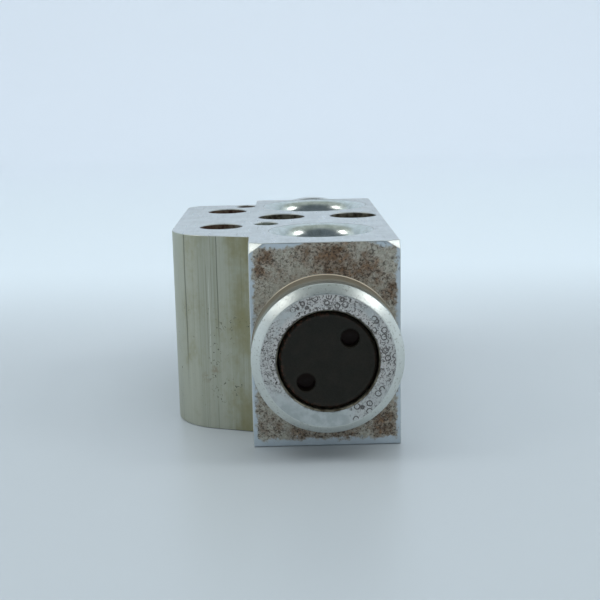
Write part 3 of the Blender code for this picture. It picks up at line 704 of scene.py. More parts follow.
def front_zones(s):
    """Where the front face is filmed, how brown it is and how strongly it is pitted."""
    ragged = s.times(s.add(s.noise(1.1, 4.0, 0.65), -0.5), 2.2)
    beside = s.math("ABSOLUTE", s.x)
    inside = s.fade(s.add(beside, ragged), 11.6, 11.0)
    middle = s.times(s.spot(1.8, -33.0, 33.0, 3.5, 7.5), 1.3)
    inside = s.times(inside, s.fade(s.add(s.add(s.z, ragged), s.times(middle, -1.0)), 32.9, 32.3))
    inside = s.times(inside, s.fade(s.add(s.z, s.times(ragged, -1.2)), 0.9, 1.6))
    heavy = s.spot(1.6, -33.0, 30.4, 0.8, 5.0)
    for x, z, inner, outer, weight in (
        (-3.2, 31.8, 0.4, 3.2, 0.55),
        (6.0, 29.4, 0.8, 3.6, 0.65),
        (-9.4, 31.0, 0.3, 2.2, 0.95),
        (-10.3, 29.0, 0.3, 1.8, 0.75),
        (10.6, 25.4, 0.4, 3.0, 0.80),
        (8.6, 27.4, 0.4, 2.4, 0.55),
        (-9.6, 3.6, 0.5, 3.4, 0.45),
        (-3.0, 1.6, 0.4, 4.5, 0.70),
        (3.0, 1.4, 0.4, 3.6, 0.80),
        (9.2, 3.6, 0.5, 4.4, 0.75),
    ):
        heavy = s.most(heavy, s.times(s.spot(x, -33.0, z, inner, outer), weight))
    return inside, heavy


def corroded_front():
    s = Surface("corroded_front")
    inside, heavy = front_zones(s)
    clean_metal_and_glint = s.mix(s.noise(0.5, 3.0), FRONT_CLEAN_DARK, FRONT_CLEAN_LIGHT)
    mottle = s.noise(1.7, 3.0, 0.65)
    film = s.mix(s.fade(mottle, 0.36, 0.62), FRONT_FILM_GREEN, FRONT_FILM_LIGHT)
    base = s.mix(s.times(inside, 0.92), clean_metal_and_glint, film)
    blotch = s.noise(0.8, 5.0, 0.7)
    brown = s.fade(s.add(blotch, s.times(heavy, 0.30)), 0.40, 0.86)
    rust = s.mix(s.fade(s.noise(1.1, 4.0), 0.50, 0.68), FRONT_BROWN, FRONT_RUST)
    stained = s.mix(s.times(s.times(brown, inside), 0.88), base, rust)
    grain = s.noise(2.4, 2.0, 0.6)
    speck = s.fade(s.add(grain, s.times(heavy, 0.07)), 0.585, 0.635)
    worm = squiggles(s, 1.5, 0.030, 0.12)
    worm = s.most(worm, s.times(squiggles(s, 2.3, 0.045, 0.09), 0.85))
    density = s.fade(s.add(s.noise(0.40, 3.0), s.times(heavy, 0.35)), 0.36, 0.64, 0.45, 1.0)
    marks = s.times(s.times(s.most(s.times(speck, 0.85), worm), density), inside)
    upper_right = s.spot(9.4, -33.0, 30.6, 2.2, 3.8)
    broken = s.fade(s.noise(0.9, 2.0), 0.40, 0.55, 0.15, 1.0)
    etched = s.times(s.times(rings(s, 0.80, 0.36, 0.11, 0.9), upper_right), broken)
    dark = s.most(marks, s.times(etched, 0.85))
    s.colour(s.mix(s.times(dark, 0.85), stained, FRONT_SPECK))
    rough = s.most(dark, s.times(inside, 0.5))
    s.roughness(s.fade(rough, 0.0, 1.0, 0.40, 0.70))
    s.metallic(s.fade(s.add(s.times(inside, 0.65), s.most(dark, brown)), 0.0, 1.35, 1.0, 0.15))
    s.bump(s.add(s.times(dark, -1.0), s.times(mottle, 0.6)), 0.05)
    return s.material


def boss_face():
    s = Surface("boss_ring_face")
    turned = s.noise(0.8, 2.0)
    base = s.mix(s.fade(turned, 0.35, 0.65), RING_DARK, RING_LIGHT)
    radial = s.radial()
    ragged = s.times(s.add(s.noise(0.8, 3.0), -0.5), 2.6)
    near_hole = s.fade(s.add(radial, ragged), 9.9, 8.5)
    side = s.math("ABSOLUTE", s.add(s.x, ragged))
    above = s.fade(s.z, 8.0, 15.0)
    beside = s.times(s.fade(side, 5.5, 8.5), above)
    top = s.fade(s.add(s.z, s.times(ragged, 0.5)), 23.0, 26.0)
    right_low = s.times(s.fade(s.x, 2.0, 5.0), s.fade(s.z, 18.0, 10.0))
    outer = s.fade(s.add(radial, s.times(ragged, 0.4)), 10.9, 10.0, 0.35, 1.0)
    worn = s.most(s.most(s.times(near_hole, above), s.times(beside, 0.75)), s.most(top, s.times(right_low, 0.5)))
    worn = s.times(worn, outer)
    film = s.mix(s.noise(1.2, 3.0), RING_FILM_DARK, RING_FILM_LIGHT)
    stained = s.mix(s.times(worn, 0.75), base, film)
    grain = s.noise(2.8, 2.0, 0.6)
    speck = s.times(s.fade(grain, 0.55, 0.59), s.fade(worn, 0.15, 0.9, 0.03, 0.95))
    worm = s.times(squiggles(s, 1.7, 0.045, 0.09), s.fade(worn, 0.20, 0.8, 0.06, 1.0))
    ringed = s.most(s.times(top, 0.9), s.most(s.times(beside, s.fade(s.x, -2.0, 3.0, 0.35, 1.0)), right_low))
    ringed = s.times(ringed, s.fade(radial, 10.6, 9.7))
    etched = s.times(rings(s, 0.85, 0.36, 0.11, 0.85), s.fade(ringed, 0.15, 0.6))
    # lip is a dark ring round the thread bore's mouth: painted shade of the narrow gap round the plug, and partly dark
    # dirt in that gap. dark holds it together with the real specks, etch lines and rings.
    frayed = s.times(s.add(s.noise(2.0, 3.0), -0.5), 0.9)
    lip = s.most(s.times(s.fade(s.add(radial, frayed), 8.16, 7.96), s.fade(s.z, 12.0, 20.0, 0.55, 1.0)),
                 s.fade(radial, 8.03, 7.97))
    dark = s.most(s.most(s.times(speck, 0.85), worm), s.times(etched, 0.9))
    dark = s.most(dark, lip)
    s.colour(s.mix(s.times(dark, 0.92), stained, (0.034, 0.026, 0.022)))
    s.roughness(s.fade(s.most(dark, s.times(worn, 0.5)), 0.0, 1.0, 0.40, 0.68))
    s.metallic(s.fade(s.add(dark, s.times(worn, 0.6)), 0.0, 1.3, 1.0, 0.25))
    groove = s.math("SINE", s.times(radial, 42.0))
    s.bump(s.add(s.times(dark, -1.0), s.times(groove, 0.05)), 0.045)
    return s.material


def boss_bevel():
    s = Surface("boss_bevel")
    speck = s.fade(s.noise(2.6, 3.0), 0.60, 0.66)
    tone = s.noise(1.4, 4.0, 0.65)
    s.colour(s.mix(s.times(speck, 0.45), s.mix(tone, (0.56, 0.59, 0.555), (0.72, 0.745, 0.72)), (0.24, 0.23, 0.19)))
    s.roughness(s.fade(tone, 0.3, 0.7, 0.36, 0.46))
    s.bump(s.noise(5.0, 3.0), 0.014)
    return s.material


def boss_side():
    """Light beside the bevel, brown towards the block, with a painted highlight line along the top of its root where it
    meets the block.
    """
    s = Surface("boss_side")
    ragged = s.times(s.add(s.noise(1.0, 3.0), -0.5), 1.6)
    deep = s.fade(s.add(s.y, ragged), -39.6, -36.0)
    brown = s.mix(s.noise(1.6, 4.0), (0.17, 0.135, 0.085), (0.32, 0.285, 0.215))
    side = s.mix(s.times(deep, 0.9), (0.49, 0.50, 0.455), brown)
    # The thin tan line along the root, on its upper side only, is a painted highlight of light catching the root
    # fillet.
    root = s.fade(s.y, -33.32, -33.22)
    s.colour(s.mix(s.times(root, s.fade(s.z, 22.0, 27.0)), side, (0.80, 0.71, 0.56)))
    s.roughness(s.fade(deep, 0.0, 1.0, 0.38, 0.58))
    s.metallic(s.fade(deep, 0.0, 1.0, 1.0, 0.70))
    s.bump(s.noise(5.0, 3.0), 0.015)
    return s.material


def extruded_side():
    s = Surface("extruded_lobe_side")
    wide = s.noise(0.8, 4.0, 0.6, vector=s.stretched((1.0, 1.0, 0.010)))
    fine = s.noise(4.0, 4.0, 0.75, vector=s.stretched((1.0, 1.0, 0.008)))
    tone = s.mix(s.fade(s.add(wide, s.fade(s.x, -18.5, -24.0, 0.0, 0.35)), 0.3, 0.7), LOBE_DARK, LOBE_LIGHT)
    streak = s.fade(fine, 0.36, 0.64)
    base = s.mix(s.times(streak, 0.42), tone, (0.57, 0.575, 0.49))
    length = s.fade(s.noise(0.5, 2.0, vector=s.stretched((1.0, 1.0, 0.12), (3.0, 1.0, 4.0))), 0.45, 0.56)
    thin = s.noise(3.6, 1.0, vector=s.stretched((1.0, 1.0, 0.004), (9.0, 2.0, 0.0)))
    hair = s.times(s.fade(thin, 0.60, 0.66), length)
    base = s.mix(s.times(hair, 0.36), base, (0.17, 0.175, 0.135))
    cloud = s.add(s.noise(0.22, 4.0, vector=s.stretched((1.0, 1.0, 0.6))), s.times(s.noise(1.2, 4.0), 0.25))
    towards_block = s.fade(s.x, -18.5, -12.8)
    upper = s.times(s.fade(s.z, 20.0, 30.0), s.fade(s.x, -18.0, -14.5))
    lower = s.times(s.fade(s.z, 10.0, 2.0), s.fade(s.x, -15.5, -12.6))
    weight = s.add(s.times(towards_block, 0.16), s.times(s.most(upper, lower), 0.18))
    stained = s.mix(s.times(s.fade(s.add(cloud, weight), 0.58, 1.10), 0.85), base, LOBE_OLIVE)
    wander = s.times(s.add(s.noise(0.12, 2.0), -0.5), 0.25)
    line = s.times(stroke(s, wander, -23.2, 0.07), s.fade(s.z, 8.0, 16.0))
    line = s.most(line, s.times(stroke(s, wander, -17.6, 0.05), s.fade(s.z, 13.0, 21.0)))
    patch = s.most(s.spot(-19.6, -21.5, 9.0, 0.3, 1.7), s.times(s.spot(-18.3, -22.5, 10.4, 0.2, 1.2), 0.8))
    smudge = s.times(s.times(patch, s.fade(s.noise(1.8, 4.0), 0.35, 0.6)), 0.60)
    scattered = s.times(s.fade(s.z, 24.0, 20.0), s.fade(s.z, 3.0, 7.0))
    patches = s.fade(s.noise(0.28, 2.0, vector=s.stretched((1.0, 1.0, 1.0), (2.0, 8.0, 1.0))), 0.50, 0.60)
    clustered = s.times(s.fade(scattered, 0.0, 1.0, 0.10, 1.0), s.most(patches, 0.15))
    mark = s.times(s.most(pits(s, 0.75, 0.14, 0.45), pits(s, 1.3, 0.17, 0.35)), clustered)
    worm = s.times(s.times(squiggles(s, 1.2, 0.035, 0.05), patches), scattered)
    mark = s.most(s.times(s.most(mark, worm), 0.85), s.times(line, 0.55))
    marked = s.mix(smudge, stained, (0.24, 0.16, 0.09))
    bright = s.times(stroke(s, wander, -19.1, 0.05), s.times(s.fade(s.z, 10.0, 14.0), s.fade(s.z, 28.0, 24.0)))
    marked = s.mix(s.times(bright, 0.4), marked, (0.80, 0.82, 0.76))
    s.colour(s.mix(mark, marked, (0.070, 0.072, 0.055)))
    s.roughness(s.fade(fine, 0.3, 0.7, 0.42, 0.54))
    s.bump(s.add(s.add(s.times(fine, 0.5), s.times(wide, 0.3)), s.times(mark, -0.8)), 0.035)
    return s.material


def stroke(surface, wander, at, half_width):
    """1 on a line that runs up the lobe's front at one x, wandering a little."""
    away = surface.math("ABSOLUTE", surface.add(surface.add(surface.x, wander), -at))
    return surface.times(surface.fade(away, half_width * 2, half_width), surface.fade(surface.y, -12.0, -15.0))


def port_seat():
    s = Surface("polished_port_seat")
    swirl = s.noise(1.2, 3.0, vector=s.stretched((1.0, 1.0, 5.0)))
    upper = s.fade(s.z, 20.0, 21.0)
    # lip is a thin dark line just inside the edge of each upper mouth, painted shade of the small step at the lip.
    lip = 0.0
    for mouth, y in ((LIQUID_MOUTH, -PORT_OFFSET_Y), (SUCTION_MOUTH, PORT_OFFSET_Y)):
        along = s.add(s.y, -y * MILLIMETRES)
        across = s.math("SQRT", s.add(s.times(s.x, s.x), s.times(along, along)))
        away = s.math("ABSOLUTE", s.add(across, 0.07 - mouth * MILLIMETRES))
        lip = s.most(lip, s.fade(away, 0.11, 0.05))
    worn = s.times(rings(s, 1.1, 0.30, 0.12, 0.8), s.spot(7.2, -19.5, 32.9, 1.2, 4.2))
    # marks holds the real worn rings and the painted shade line at the lip.
    marks = s.most(s.times(worn, 0.7), s.times(s.times(lip, upper), 0.75))
    tone = s.mix(s.fade(s.noise(0.8, 3.0), 0.35, 0.65), (0.52, 0.56, 0.52), (0.63, 0.665, 0.635))
    s.colour(s.mix(marks, tone, (0.16, 0.15, 0.12)))
    s.roughness(s.fade(swirl, 0.3, 0.7, 0.20, 0.27))
    s.bump(s.times(swirl, 0.5), 0.006)
    return s.material


def drilled_hole():
    s = Surface("drilled_bore", metallic=0.55)
    rust = s.noise(0.9, 4.0)
    tone = s.fade(rust, 0.35, 0.65)
    olive = s.mix(tone, (0.20, 0.19, 0.14), (0.055, 0.045, 0.028))
    brown = s.mix(tone, (0.17, 0.12, 0.08), (0.080, 0.036, 0.022))
    stained = s.mix(s.fade(s.x, -10.0, -13.0), olive, brown)
    # The locating hole beside the inlet port is painted lighter than the other bores: a painted highlight standing for
    # the glints on its walls.
    x, y = (value * MILLIMETRES for value in HOLES["locating_front"][:2])
    clean_metal_and_glint = s.mix(tone, (0.36, 0.40, 0.34), (0.20, 0.23, 0.18))
    s.colour(s.mix(s.spot(x, y, HEIGHT * MILLIMETRES, 1.5, 8.0), stained, clean_metal_and_glint))
    s.roughness(s.fade(rust, 0.3, 0.7, 0.42, 0.70))
    s.bump(s.noise(1.6, 3.0, vector=s.stretched((1.0, 1.0, 4.0))), 0.03)
    return s.material


# Other materials -------------------------------------------------------------------------------------------


def metal(name, dark, light, low_rough, high_rough, grain=(1.0, 1.0, 1.0), depth=0.012, metallic=1.0):
    """A turned or pressed metal: two tones, a roughness that varies and a fine grain."""
    s = Surface(name, metallic=metallic)
    tone = s.noise(0.6, 4.0)
    fine = s.noise(7.0, 3.0, vector=s.stretched(grain))
    s.colour(s.mix(s.fade(tone, 0.35, 0.65), dark, light))
    s.roughness(s.fade(fine, 0.3, 0.7, low_rough, high_rough))
    s.bump(fine, depth)
    return s.material


def black_plug():
    s = Surface("black_oxide_plug", metallic=0.0)
    tone = s.noise(0.5, 4.0)
    base = s.mix(s.fade(tone, 0.35, 0.65), (0.0085, 0.0080, 0.0045), (0.0120, 0.0100, 0.0060))
    edge = s.fade(s.radial(), 6.6, 7.5)
    rust = s.times(s.fade(s.noise(1.8, 4.0), 0.47, 0.62), s.times(edge, s.fade(s.x, 3.0, -4.0, 0.25, 1.0)))
    front = PLUG_FRONT_Y * MILLIMETRES
    deep = s.times(s.fade(s.y, front + 0.6, front + 2.2), s.fade(s.y, front + 4.2, front + 3.8))
    deep = s.times(deep, s.fade(s.radial(), 6.6, 6.4))
    base = s.mix(s.times(deep, 0.9), base, (0.032, 0.017, 0.013))
    s.colour(s.mix(s.times(rust, 0.8), base, (0.105, 0.040, 0.022)))
    s.shader.inputs["Specular IOR Level"].default_value = 0.27
    s.roughness(s.fade(s.noise(5.0, 3.0), 0.35, 0.65, 0.48, 0.66))
    s.bump(s.add(s.noise(6.0, 3.0), s.times(rust, 0.6)), 0.015)
    return s.material


def rubber(name, colour):
    s = Surface(name, roughness=0.6, metallic=0.0, colour=colour)
    s.roughness(s.fade(s.noise(4.0, 3.0), 0.35, 0.65, 0.5, 0.72))
    s.bump(s.noise(8.0, 3.0), 0.01)
    return s.material


MATERIALS = {
    "black_steel": black_plug(),
    "spring_steel": metal("spring_wire", (0.34, 0.34, 0.35), (0.46, 0.46, 0.47), 0.28, 0.40),
    "stainless": metal("stainless_steel", (0.52, 0.52, 0.51), (0.64, 0.64, 0.63), 0.20, 0.32),
    "bearing_steel": metal("bearing_steel", (0.68, 0.68, 0.68), (0.74, 0.74, 0.74), 0.05, 0.10, depth=0.002),
    "brass": metal("turned_brass", (0.50, 0.36, 0.14), (0.64, 0.48, 0.21), 0.24, 0.38, (1.0, 8.0, 1.0)),
    "zinc_plate": metal("zinc_plated_steel", (0.58, 0.58, 0.55), (0.66, 0.66, 0.62), 0.24, 0.36),
    "green_rubber": rubber("green_rubber", (0.020, 0.110, 0.050)),
    "black_rubber": rubber("black_rubber", (0.015, 0.015, 0.016)),
    "grey_plastic": metal("grey_plastic", (0.24, 0.25, 0.26), (0.30, 0.31, 0.32), 0.4, 0.55, metallic=0.0),
}


def dress(piece, body, slot, *nodes):
    """Give a new piece its material and its body, and hide the CAD nodes that it stands for."""
    piece.data.materials.clear()
    piece.data.materials.append(MATERIALS[slot])
    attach(piece, body)
    if nodes:
        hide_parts(*nodes)
    return piece


# Adjusting plug ------------------------------------------------------------------------------------------

PLUG_THREAD_END_Y = -0.0363
PLUG_NOSE_RADIUS = 0.0069
PLUG_GROOVE_RADIUS = 0.0053
PLUG_GROOVE_Y = (-0.0341, -0.0321)
PLUG_THREAD_PITCH = 0.0010
PLUG_THREAD_DEPTH = 0.00030
PLUG_EDGE = 0.00035
SPANNER_HOLE_RADIUS = 0.00142
SPANNER_HOLE_OFFSET = 0.0034
SPANNER_HOLE_DEPTH = 0.0026


def adjusting_plug():
    groove_front, groove_rear = PLUG_GROOVE_Y
    profile = [
        (0.0, PLUG_END_Y),
        (PLUG_NOSE_RADIUS, PLUG_END_Y),
        (PLUG_NOSE_RADIUS, groove_rear),
        (PLUG_GROOVE_RADIUS, groove_rear),
        (PLUG_GROOVE_RADIUS, groove_front),
        (PLUG_NOSE_RADIUS, groove_front),
        (PLUG_NOSE_RADIUS, PLUG_THREAD_END_Y),
    ]
    turns = int((PLUG_THREAD_END_Y - PLUG_FRONT_Y - 2 * PLUG_EDGE) / PLUG_THREAD_PITCH)
    for i in range(turns):
        crest = PLUG_THREAD_END_Y - (i + 0.5) * PLUG_THREAD_PITCH
        profile.append((PLUG_RADIUS - PLUG_THREAD_DEPTH, crest + PLUG_THREAD_PITCH / 2))
        profile.append((PLUG_RADIUS, crest + PLUG_THREAD_PITCH / 10))
        profile.append((PLUG_RADIUS, crest - PLUG_THREAD_PITCH / 10))
    profile += [
        (PLUG_RADIUS - PLUG_THREAD_DEPTH, PLUG_THREAD_END_Y - turns * PLUG_THREAD_PITCH),
        (PLUG_RADIUS, PLUG_FRONT_Y + PLUG_EDGE),
        (PLUG_RADIUS - PLUG_EDGE, PLUG_FRONT_Y),
        (0.0, PLUG_FRONT_Y),
    ]
    plug = finish_mesh(stem_shape(profile), "spanner_plug", smooth=False)
    tools = tool_collection("plug_tools")
    for side in (1, -1):
        tool(spanner_hole(side), "spanner_hole", tools)
    boolean(plug, tools, "DIFFERENCE")
    soften(plug)
    return dress(plug, "adjuster", "black_steel", "adjusting_plug")


def spanner_hole(side):
    floor = PLUG_FRONT_Y + SPANNER_HOLE_DEPTH
    flare = SPANNER_HOLE_RADIUS + MOUTH_ROUND
    profile = [
        (0.0, floor + SPANNER_HOLE_RADIUS * 0.58),
        (SPANNER_HOLE_RADIUS, floor),
        (SPANNER_HOLE_RADIUS, PLUG_FRONT_Y + MOUTH_ROUND),
        (flare, PLUG_FRONT_Y),
        (flare, PLUG_FRONT_Y - OVERSHOOT),
        (0.0, PLUG_FRONT_Y - OVERSHOOT),
    ]
    shape = stem_shape(profile, SMALL_SEGMENTS)
    offset = side * SPANNER_HOLE_OFFSET
    shape.transform(Matrix.Translation((offset, 0.0, offset)))
    return shape


# Power element ---------------------------------------------------------------------------------------------

upper_low, upper_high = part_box("upper_case")
lower_low, lower_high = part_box("lower_case")
charge_low, charge_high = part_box("charge_plug")
RIM_RADIUS = (upper_high.z - upper_low.z) / 2
DOME_TOP_Y = upper_high.y
SKIRT_END_Y = upper_low.y
CASE_RIM_Y = lower_high.y
NECK_START_Y = lower_low.y
RIM_SKIRT = 0.0006
GAP = 0.0003
DISH_WALL = 0.0012
DOME_WALL = 0.0010
DOME_FLAT_RADIUS = 0.0060
DIAPHRAGM_THICKNESS = 0.0003
NECK_RADIUS = 0.0090
NECK_INNER_RADIUS = 0.0070
HEX_ACROSS_FLATS = 0.0240
HEX_Y = (0.0303, 0.0343)
CHARGE_HOLE_RADIUS = 0.0015


def upper_case():
    seat = CASE_RIM_Y + 2 * GAP + DIAPHRAGM_THICKNESS
    skirt_inner = RIM_RADIUS - RIM_SKIRT
    reach = RIM_RADIUS - 2 * DISH_WALL - DOME_FLAT_RADIUS
    rise = DOME_TOP_Y - seat - DOME_WALL
    outer = []
    inner = []
    for x, y in arc((0.0, 0.0), 1.0, math.pi / 2, 0.0, 20):
        outer.append((DOME_FLAT_RADIUS + x * reach, seat + DOME_WALL + y * rise))
        inner.append((DOME_FLAT_RADIUS + x * (reach - DOME_WALL), seat + y * rise))
    profile = [(CHARGE_HOLE_RADIUS, DOME_TOP_Y)] + outer
    profile += [(RIM_RADIUS, seat + DOME_WALL), (RIM_RADIUS, SKIRT_END_Y), (skirt_inner, SKIRT_END_Y)]
    profile += [(skirt_inner, seat)] + list(reversed(inner)) + [(CHARGE_HOLE_RADIUS, DOME_TOP_Y - DOME_WALL)]
    case = stem_piece("domed_cap", profile, closed=True, edge=0.0003)
    return dress(case, "block", "zinc_plate", "upper_case")


def lower_case():
    hex_front, hex_rear = HEX_Y
    hex_edge = HEX_ACROSS_FLATS / 2 - GAP
    rim = RIM_RADIUS - RIM_SKIRT - GAP
    profile = [
        (rim - 2 * DISH_WALL, CASE_RIM_Y),
        (rim, CASE_RIM_Y),
        (rim, CASE_RIM_Y - DISH_WALL),
        (rim - DISH_WALL, CASE_RIM_Y - DISH_WALL),
        (hex_edge, hex_rear + GAP),
        (hex_edge, hex_front),
        (NECK_RADIUS, hex_front),
        (NECK_RADIUS, NECK_START_Y),
        (NECK_INNER_RADIUS, NECK_START_Y),
        (NECK_INNER_RADIUS, hex_rear + DISH_WALL),
        (hex_edge - DISH_WALL, hex_rear + DISH_WALL),
    ]
    case = finish_mesh(stem_shape(rounded(profile, EDGE_ROUND, True), SEGMENTS, True), "necked_case", smooth=False)
    boolean(case, hexagon(), "UNION")
    soften(case)
    return dress(case, "block", "zinc_plate", "lower_case")


def hexagon():
    """The spanner hexagon with its corners turned off at both ends, and a bore to clear the neck."""
    front, rear = HEX_Y
    corner = HEX_ACROSS_FLATS / math.sqrt(3)
    shape = bmesh.new()
    bmesh.ops.create_cone(
        shape, cap_ends=True, segments=6, radius1=corner, radius2=corner, depth=rear - front
    )
    shape.transform(TO_STEM @ Matrix.Translation((0.0, 0.0, (front + rear) / 2)))
    nut = finish_mesh(shape, "hexagon", smooth=False)
    flat = HEX_ACROSS_FLATS / 2 + GAP
    slope = (corner - flat) * 0.6 + OVERSHOOT * 0.6
    opening = (NECK_INNER_RADIUS + NECK_RADIUS) / 2
    chamfer = [
        (opening, rear),
        (flat, rear),
        (corner + OVERSHOOT, rear - slope),
        (corner + OVERSHOOT, front + slope),
        (flat, front),
        (opening, front),
    ]
    limits = finish_mesh(stem_shape(chamfer, SEGMENTS, True), "hexagon_limits", smooth=False)
    return boolean(nut, limits, "INTERSECT")


def charge_plug():
    top = DOME_TOP_Y
    radius = (charge_high.z - charge_low.z) / 2
    shank = CHARGE_HOLE_RADIUS - GAP / 2
    height = charge_high.y - top
    crown = [(radius * math.sin(a), top + GAP + (height - GAP) * math.cos(a)) for a in
             [math.pi / 2 * i / 12 for i in range(13)]]
    profile = crown + [(shank, top + GAP), (shank, top - DOME_WALL), (0.0, top - DOME_WALL)]
    plug = stem_piece("charge_weld_plug", profile, SMALL_SEGMENTS, edge=0.0001)
    return dress(plug, "block", "stainless", "charge_plug")


# Inner pieces: the CAD shapes with fine surfaces -----------------------------------------------------------


# Superheat spring --------------------------------------------------------------------------------------

spring_low, spring_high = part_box("superheat_spring")
SPRING_RADIUS = 0.0035
SPRING_WIRE_RADIUS = 0.00055
SPRING_TURNS = 5.5
SPRING_FLAT_SHARE = 0.28
SPRING_STEPS_PER_TURN = 28
WIRE_SEGMENTS = 12


def spring_point(share):
    """The wire's centre at a share of the spring's turns; the end turns lie flatter than the middle ones."""
    bottom = spring_low.y + SPRING_WIRE_RADIUS
    top = spring_high.y - SPRING_WIRE_RADIUS
    eased = share - math.sin(2 * math.pi * share) / (2 * math.pi)
    height = bottom + (top - bottom) * ((1 - SPRING_FLAT_SHARE) * share + SPRING_FLAT_SHARE * eased)
    angle = 2 * math.pi * SPRING_TURNS * share
    return Vector((SPRING_RADIUS * math.cos(angle), SPRING_RADIUS * math.sin(angle), height))


def spring_half(name, first, last):
    """One half of the spring, between two shares of its turns, as a closed mesh."""
    shape = bmesh.new()
    steps = round(SPRING_TURNS * SPRING_STEPS_PER_TURN * (last - first))
    loops = []
    for i in range(steps + 1):
        share = first + (last - first) * i / steps
        centre = spring_point(share)
        ahead = (spring_point(share + 0.0001) - centre).normalized()
        outward = Vector((centre.x, centre.y, 0.0)).normalized()
        across = ahead.cross(outward).normalized()
        loop = []
        for k in range(WIRE_SEGMENTS):
            turn = 2 * math.pi * k / WIRE_SEGMENTS
            side = outward * math.cos(turn) + across * math.sin(turn)
            loop.append(shape.verts.new(centre + side * SPRING_WIRE_RADIUS))
        loops.append(loop)
    for near, far in zip(loops, loops[1:]):
        for k in range(WIRE_SEGMENTS):
            after = (k + 1) % WIRE_SEGMENTS
            shape.faces.new((near[k], near[after], far[after], far[k]))
    shape.faces.new(loops[0])
    shape.faces.new(loops[-1])
    shape.transform(TO_STEM)
    half = finish_mesh(shape, name)
    half.data.materials.clear()
    half.data.materials.append(MATERIALS["spring_steel"])
    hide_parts("superheat_spring")
    return half


def superheat_spring():
    """The spring as two meshes, its front half and its rear half, each baked in place."""
    front = spring_half("superheat_spring_front", 0.0, 0.5)
    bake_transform(front)
    rear = spring_half("superheat_spring_rear", 0.5, 1.0)
    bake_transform(rear)


def inner_pieces():
    slots = {row["node"]: row["material_slot"] for row in frame["record"]["subparts"]}
    for name, node in frame["nodes"].items():
        if node.hide_render:
            continue
        node.data.materials.clear()
        node.data.materials.append(MATERIALS[slots[name]])
        node.data.shade_smooth()
        node.data.set_sharp_from_angle(angle=SMOOTH_ANGLE)


# Studio ----------------------------------------------------------------------------------------------------

CAMERA_PLACE = (-0.006085, -0.198961, 0.057792)
CAMERA_LENS = 64.32
CAMERA_PITCH = math.radians(11.432)
CAMERA_YAW = math.radians(0.726)
CAMERA_ROLL = math.radians(-1.200)
WORLD_PALE = (0.84, 0.95, 1.03)
WORLD_OVERHEAD = (0.50, 0.56, 0.55)
WORLD_FRONT = (0.13, 0.16, 0.19)
# The floor is darker than the sweep and the wall lighter still: painted shade in front of the object and painted light
# higher up, with the floor also a little less blue.
FLOOR_COLOUR = (0.45, 0.49, 0.515)
SWEEP_COLOUR = (0.68, 0.755, 0.80)
WALL_COLOUR = (0.77, 0.83, 0.90)
LEFT_BOX_POWER = 1.7
RIGHT_BOX_POWER = 2.3
FILL_POWER = 15.0
FLOOR_HALF_WIDTH = 1.6
FLOOR_FRONT_Y = -1.2
SWEEP_Y = 0.55
SWEEP_RADIUS = 0.35
BACKDROP_HEIGHT = 1.5


def camera():
    data = bpy.data.cameras.new("camera")
    data.lens = CAMERA_LENS
    data.sensor_width = 36.0
    data.clip_start = 0.005
    obj = bpy.data.objects.new("camera", data)
    bpy.context.scene.collection.objects.link(obj)
    turn = Matrix.Rotation(-CAMERA_YAW, 4, "Z") @ Matrix.Rotation(math.pi / 2 - CAMERA_PITCH, 4, "X")
    obj.matrix_world = Matrix.Translation(CAMERA_PLACE) @ turn @ Matrix.Rotation(CAMERA_ROLL, 4, "Z")
    bpy.context.scene.camera = obj


def backdrop():
    """A pale floor that curves up into a wall behind the object."""
    profile = [(FLOOR_FRONT_Y, 0.0), (SWEEP_Y, 0.0)]
    profile += arc((SWEEP_Y, SWEEP_RADIUS), SWEEP_RADIUS, -math.pi / 2, 0.0, 24)[1:]
    profile.append((SWEEP_Y + SWEEP_RADIUS, BACKDROP_HEIGHT))
    shape = bmesh.new()
    left = [shape.verts.new((-FLOOR_HALF_WIDTH, y, z)) for y, z in profile]
    right = [shape.verts.new((FLOOR_HALF_WIDTH, y, z)) for y, z in profile]
    for i in range(len(profile) - 1):
        shape.faces.new((left[i], right[i], right[i + 1], left[i + 1]))
    mesh = bpy.data.meshes.new("backdrop")
    shape.to_mesh(mesh)
    shape.free()
    mesh.shade_smooth()
    obj = bpy.data.objects.new("backdrop", mesh)
    bpy.context.scene.collection.objects.link(obj)
    s = Surface("backdrop", roughness=0.36, metallic=0.0)
    # Painted shade: the floor darkens in front of and under the object. Painted light: the sweep and wall grow lighter
    # further back.
    near = s.mix(s.fade(s.y, 20.0, 150.0), FLOOR_COLOUR, SWEEP_COLOUR)
    s.colour(s.mix(s.fade(s.y, 250.0, 750.0), near, WALL_COLOUR))
    mesh.materials.append(s.material)


def softbox(name, place, target, size, power, colour, reflected=True):
    data = bpy.data.lights.new(name, "AREA")
    data.shape = "RECTANGLE"
    data.size, data.size_y = size
    data.energy = power
    data.color = colour
    obj = bpy.data.objects.new(name, data)
    bpy.context.scene.collection.objects.link(obj)
    obj.visible_camera = False
    obj.visible_glossy = reflected
    obj.location = place
    obj.rotation_euler = (Vector(target) - Vector(place)).to_track_quat("-Z", "Y").to_euler()


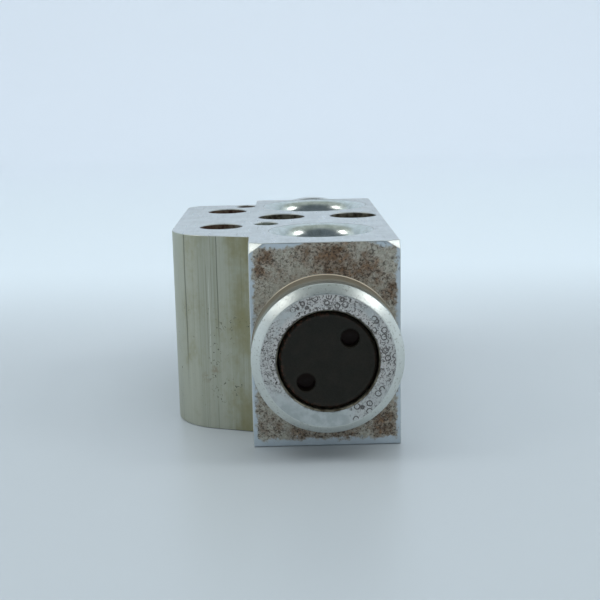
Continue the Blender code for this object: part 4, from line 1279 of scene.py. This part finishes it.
def ramp(tree, value, start, end):
    """Smooth step of value from start to end; start may be the larger."""
    made = tree.nodes.new("ShaderNodeMapRange")
    made.interpolation_type = "SMOOTHSTEP"
    tree.links.new(value, made.inputs["Value"])
    made.inputs["From Min"].default_value = min(start, end)
    made.inputs["From Max"].default_value = max(start, end)
    made.inputs["To Min"].default_value = float(start > end)
    made.inputs["To Max"].default_value = float(start < end)
    return made.outputs["Result"]


def blend(tree, share, first, second):
    made = tree.nodes.new("ShaderNodeMix")
    made.data_type = "RGBA"
    tree.links.new(share, made.inputs["Factor"])
    for socket, value in ((made.inputs[6], first), (made.inputs[7], second)):
        if isinstance(value, tuple):
            socket.default_value = (*value, 1.0)
        else:
            tree.links.new(value, socket)
    return made.outputs[2]


def world_light():
    """Pale near the horizon, softer overhead and dim in front, for soft reflections in the metal."""
    world = bpy.data.worlds.new("studio")
    bpy.context.scene.world = world
    world.use_nodes = True
    tree = world.node_tree
    coordinates = tree.nodes.new("ShaderNodeTexCoord")
    split = tree.nodes.new("ShaderNodeSeparateXYZ")
    tree.links.new(coordinates.outputs["Generated"], split.inputs[0])
    sky = blend(tree, ramp(tree, split.outputs["Z"], 0.35, 0.85), WORLD_PALE, WORLD_OVERHEAD)
    forward = tree.nodes.new("ShaderNodeMath")
    forward.operation = "MULTIPLY"
    tree.links.new(ramp(tree, split.outputs["Y"], 0.15, -0.40), forward.inputs[0])
    tree.links.new(ramp(tree, split.outputs["Z"], 0.08, 0.36), forward.inputs[1])
    sky = blend(tree, forward.outputs["Value"], sky, WORLD_FRONT)
    tree.links.new(sky, tree.nodes["Background"].inputs["Color"])


def studio():
    middle = (0.0, 0.0, 0.016)
    softbox("left_box", (-0.84, -0.14, 0.86), middle, (0.34, 0.38), LEFT_BOX_POWER, (1.0, 0.995, 0.98))
    softbox("right_box", (0.86, -0.14, 0.84), middle, (0.34, 0.38), RIGHT_BOX_POWER, (0.98, 0.995, 1.0))
    softbox("fill", (0.0, -0.25, 1.45), (0.0, 0.25, 0.0), (1.8, 1.4), FILL_POWER, (0.97, 0.99, 1.0), False)
    world_light()
    bpy.context.scene.view_settings.view_transform = "Standard"


valve_body()
adjusting_plug()
upper_case()
lower_case()
charge_plug()
superheat_spring()
inner_pieces()
camera()
backdrop()
studio()
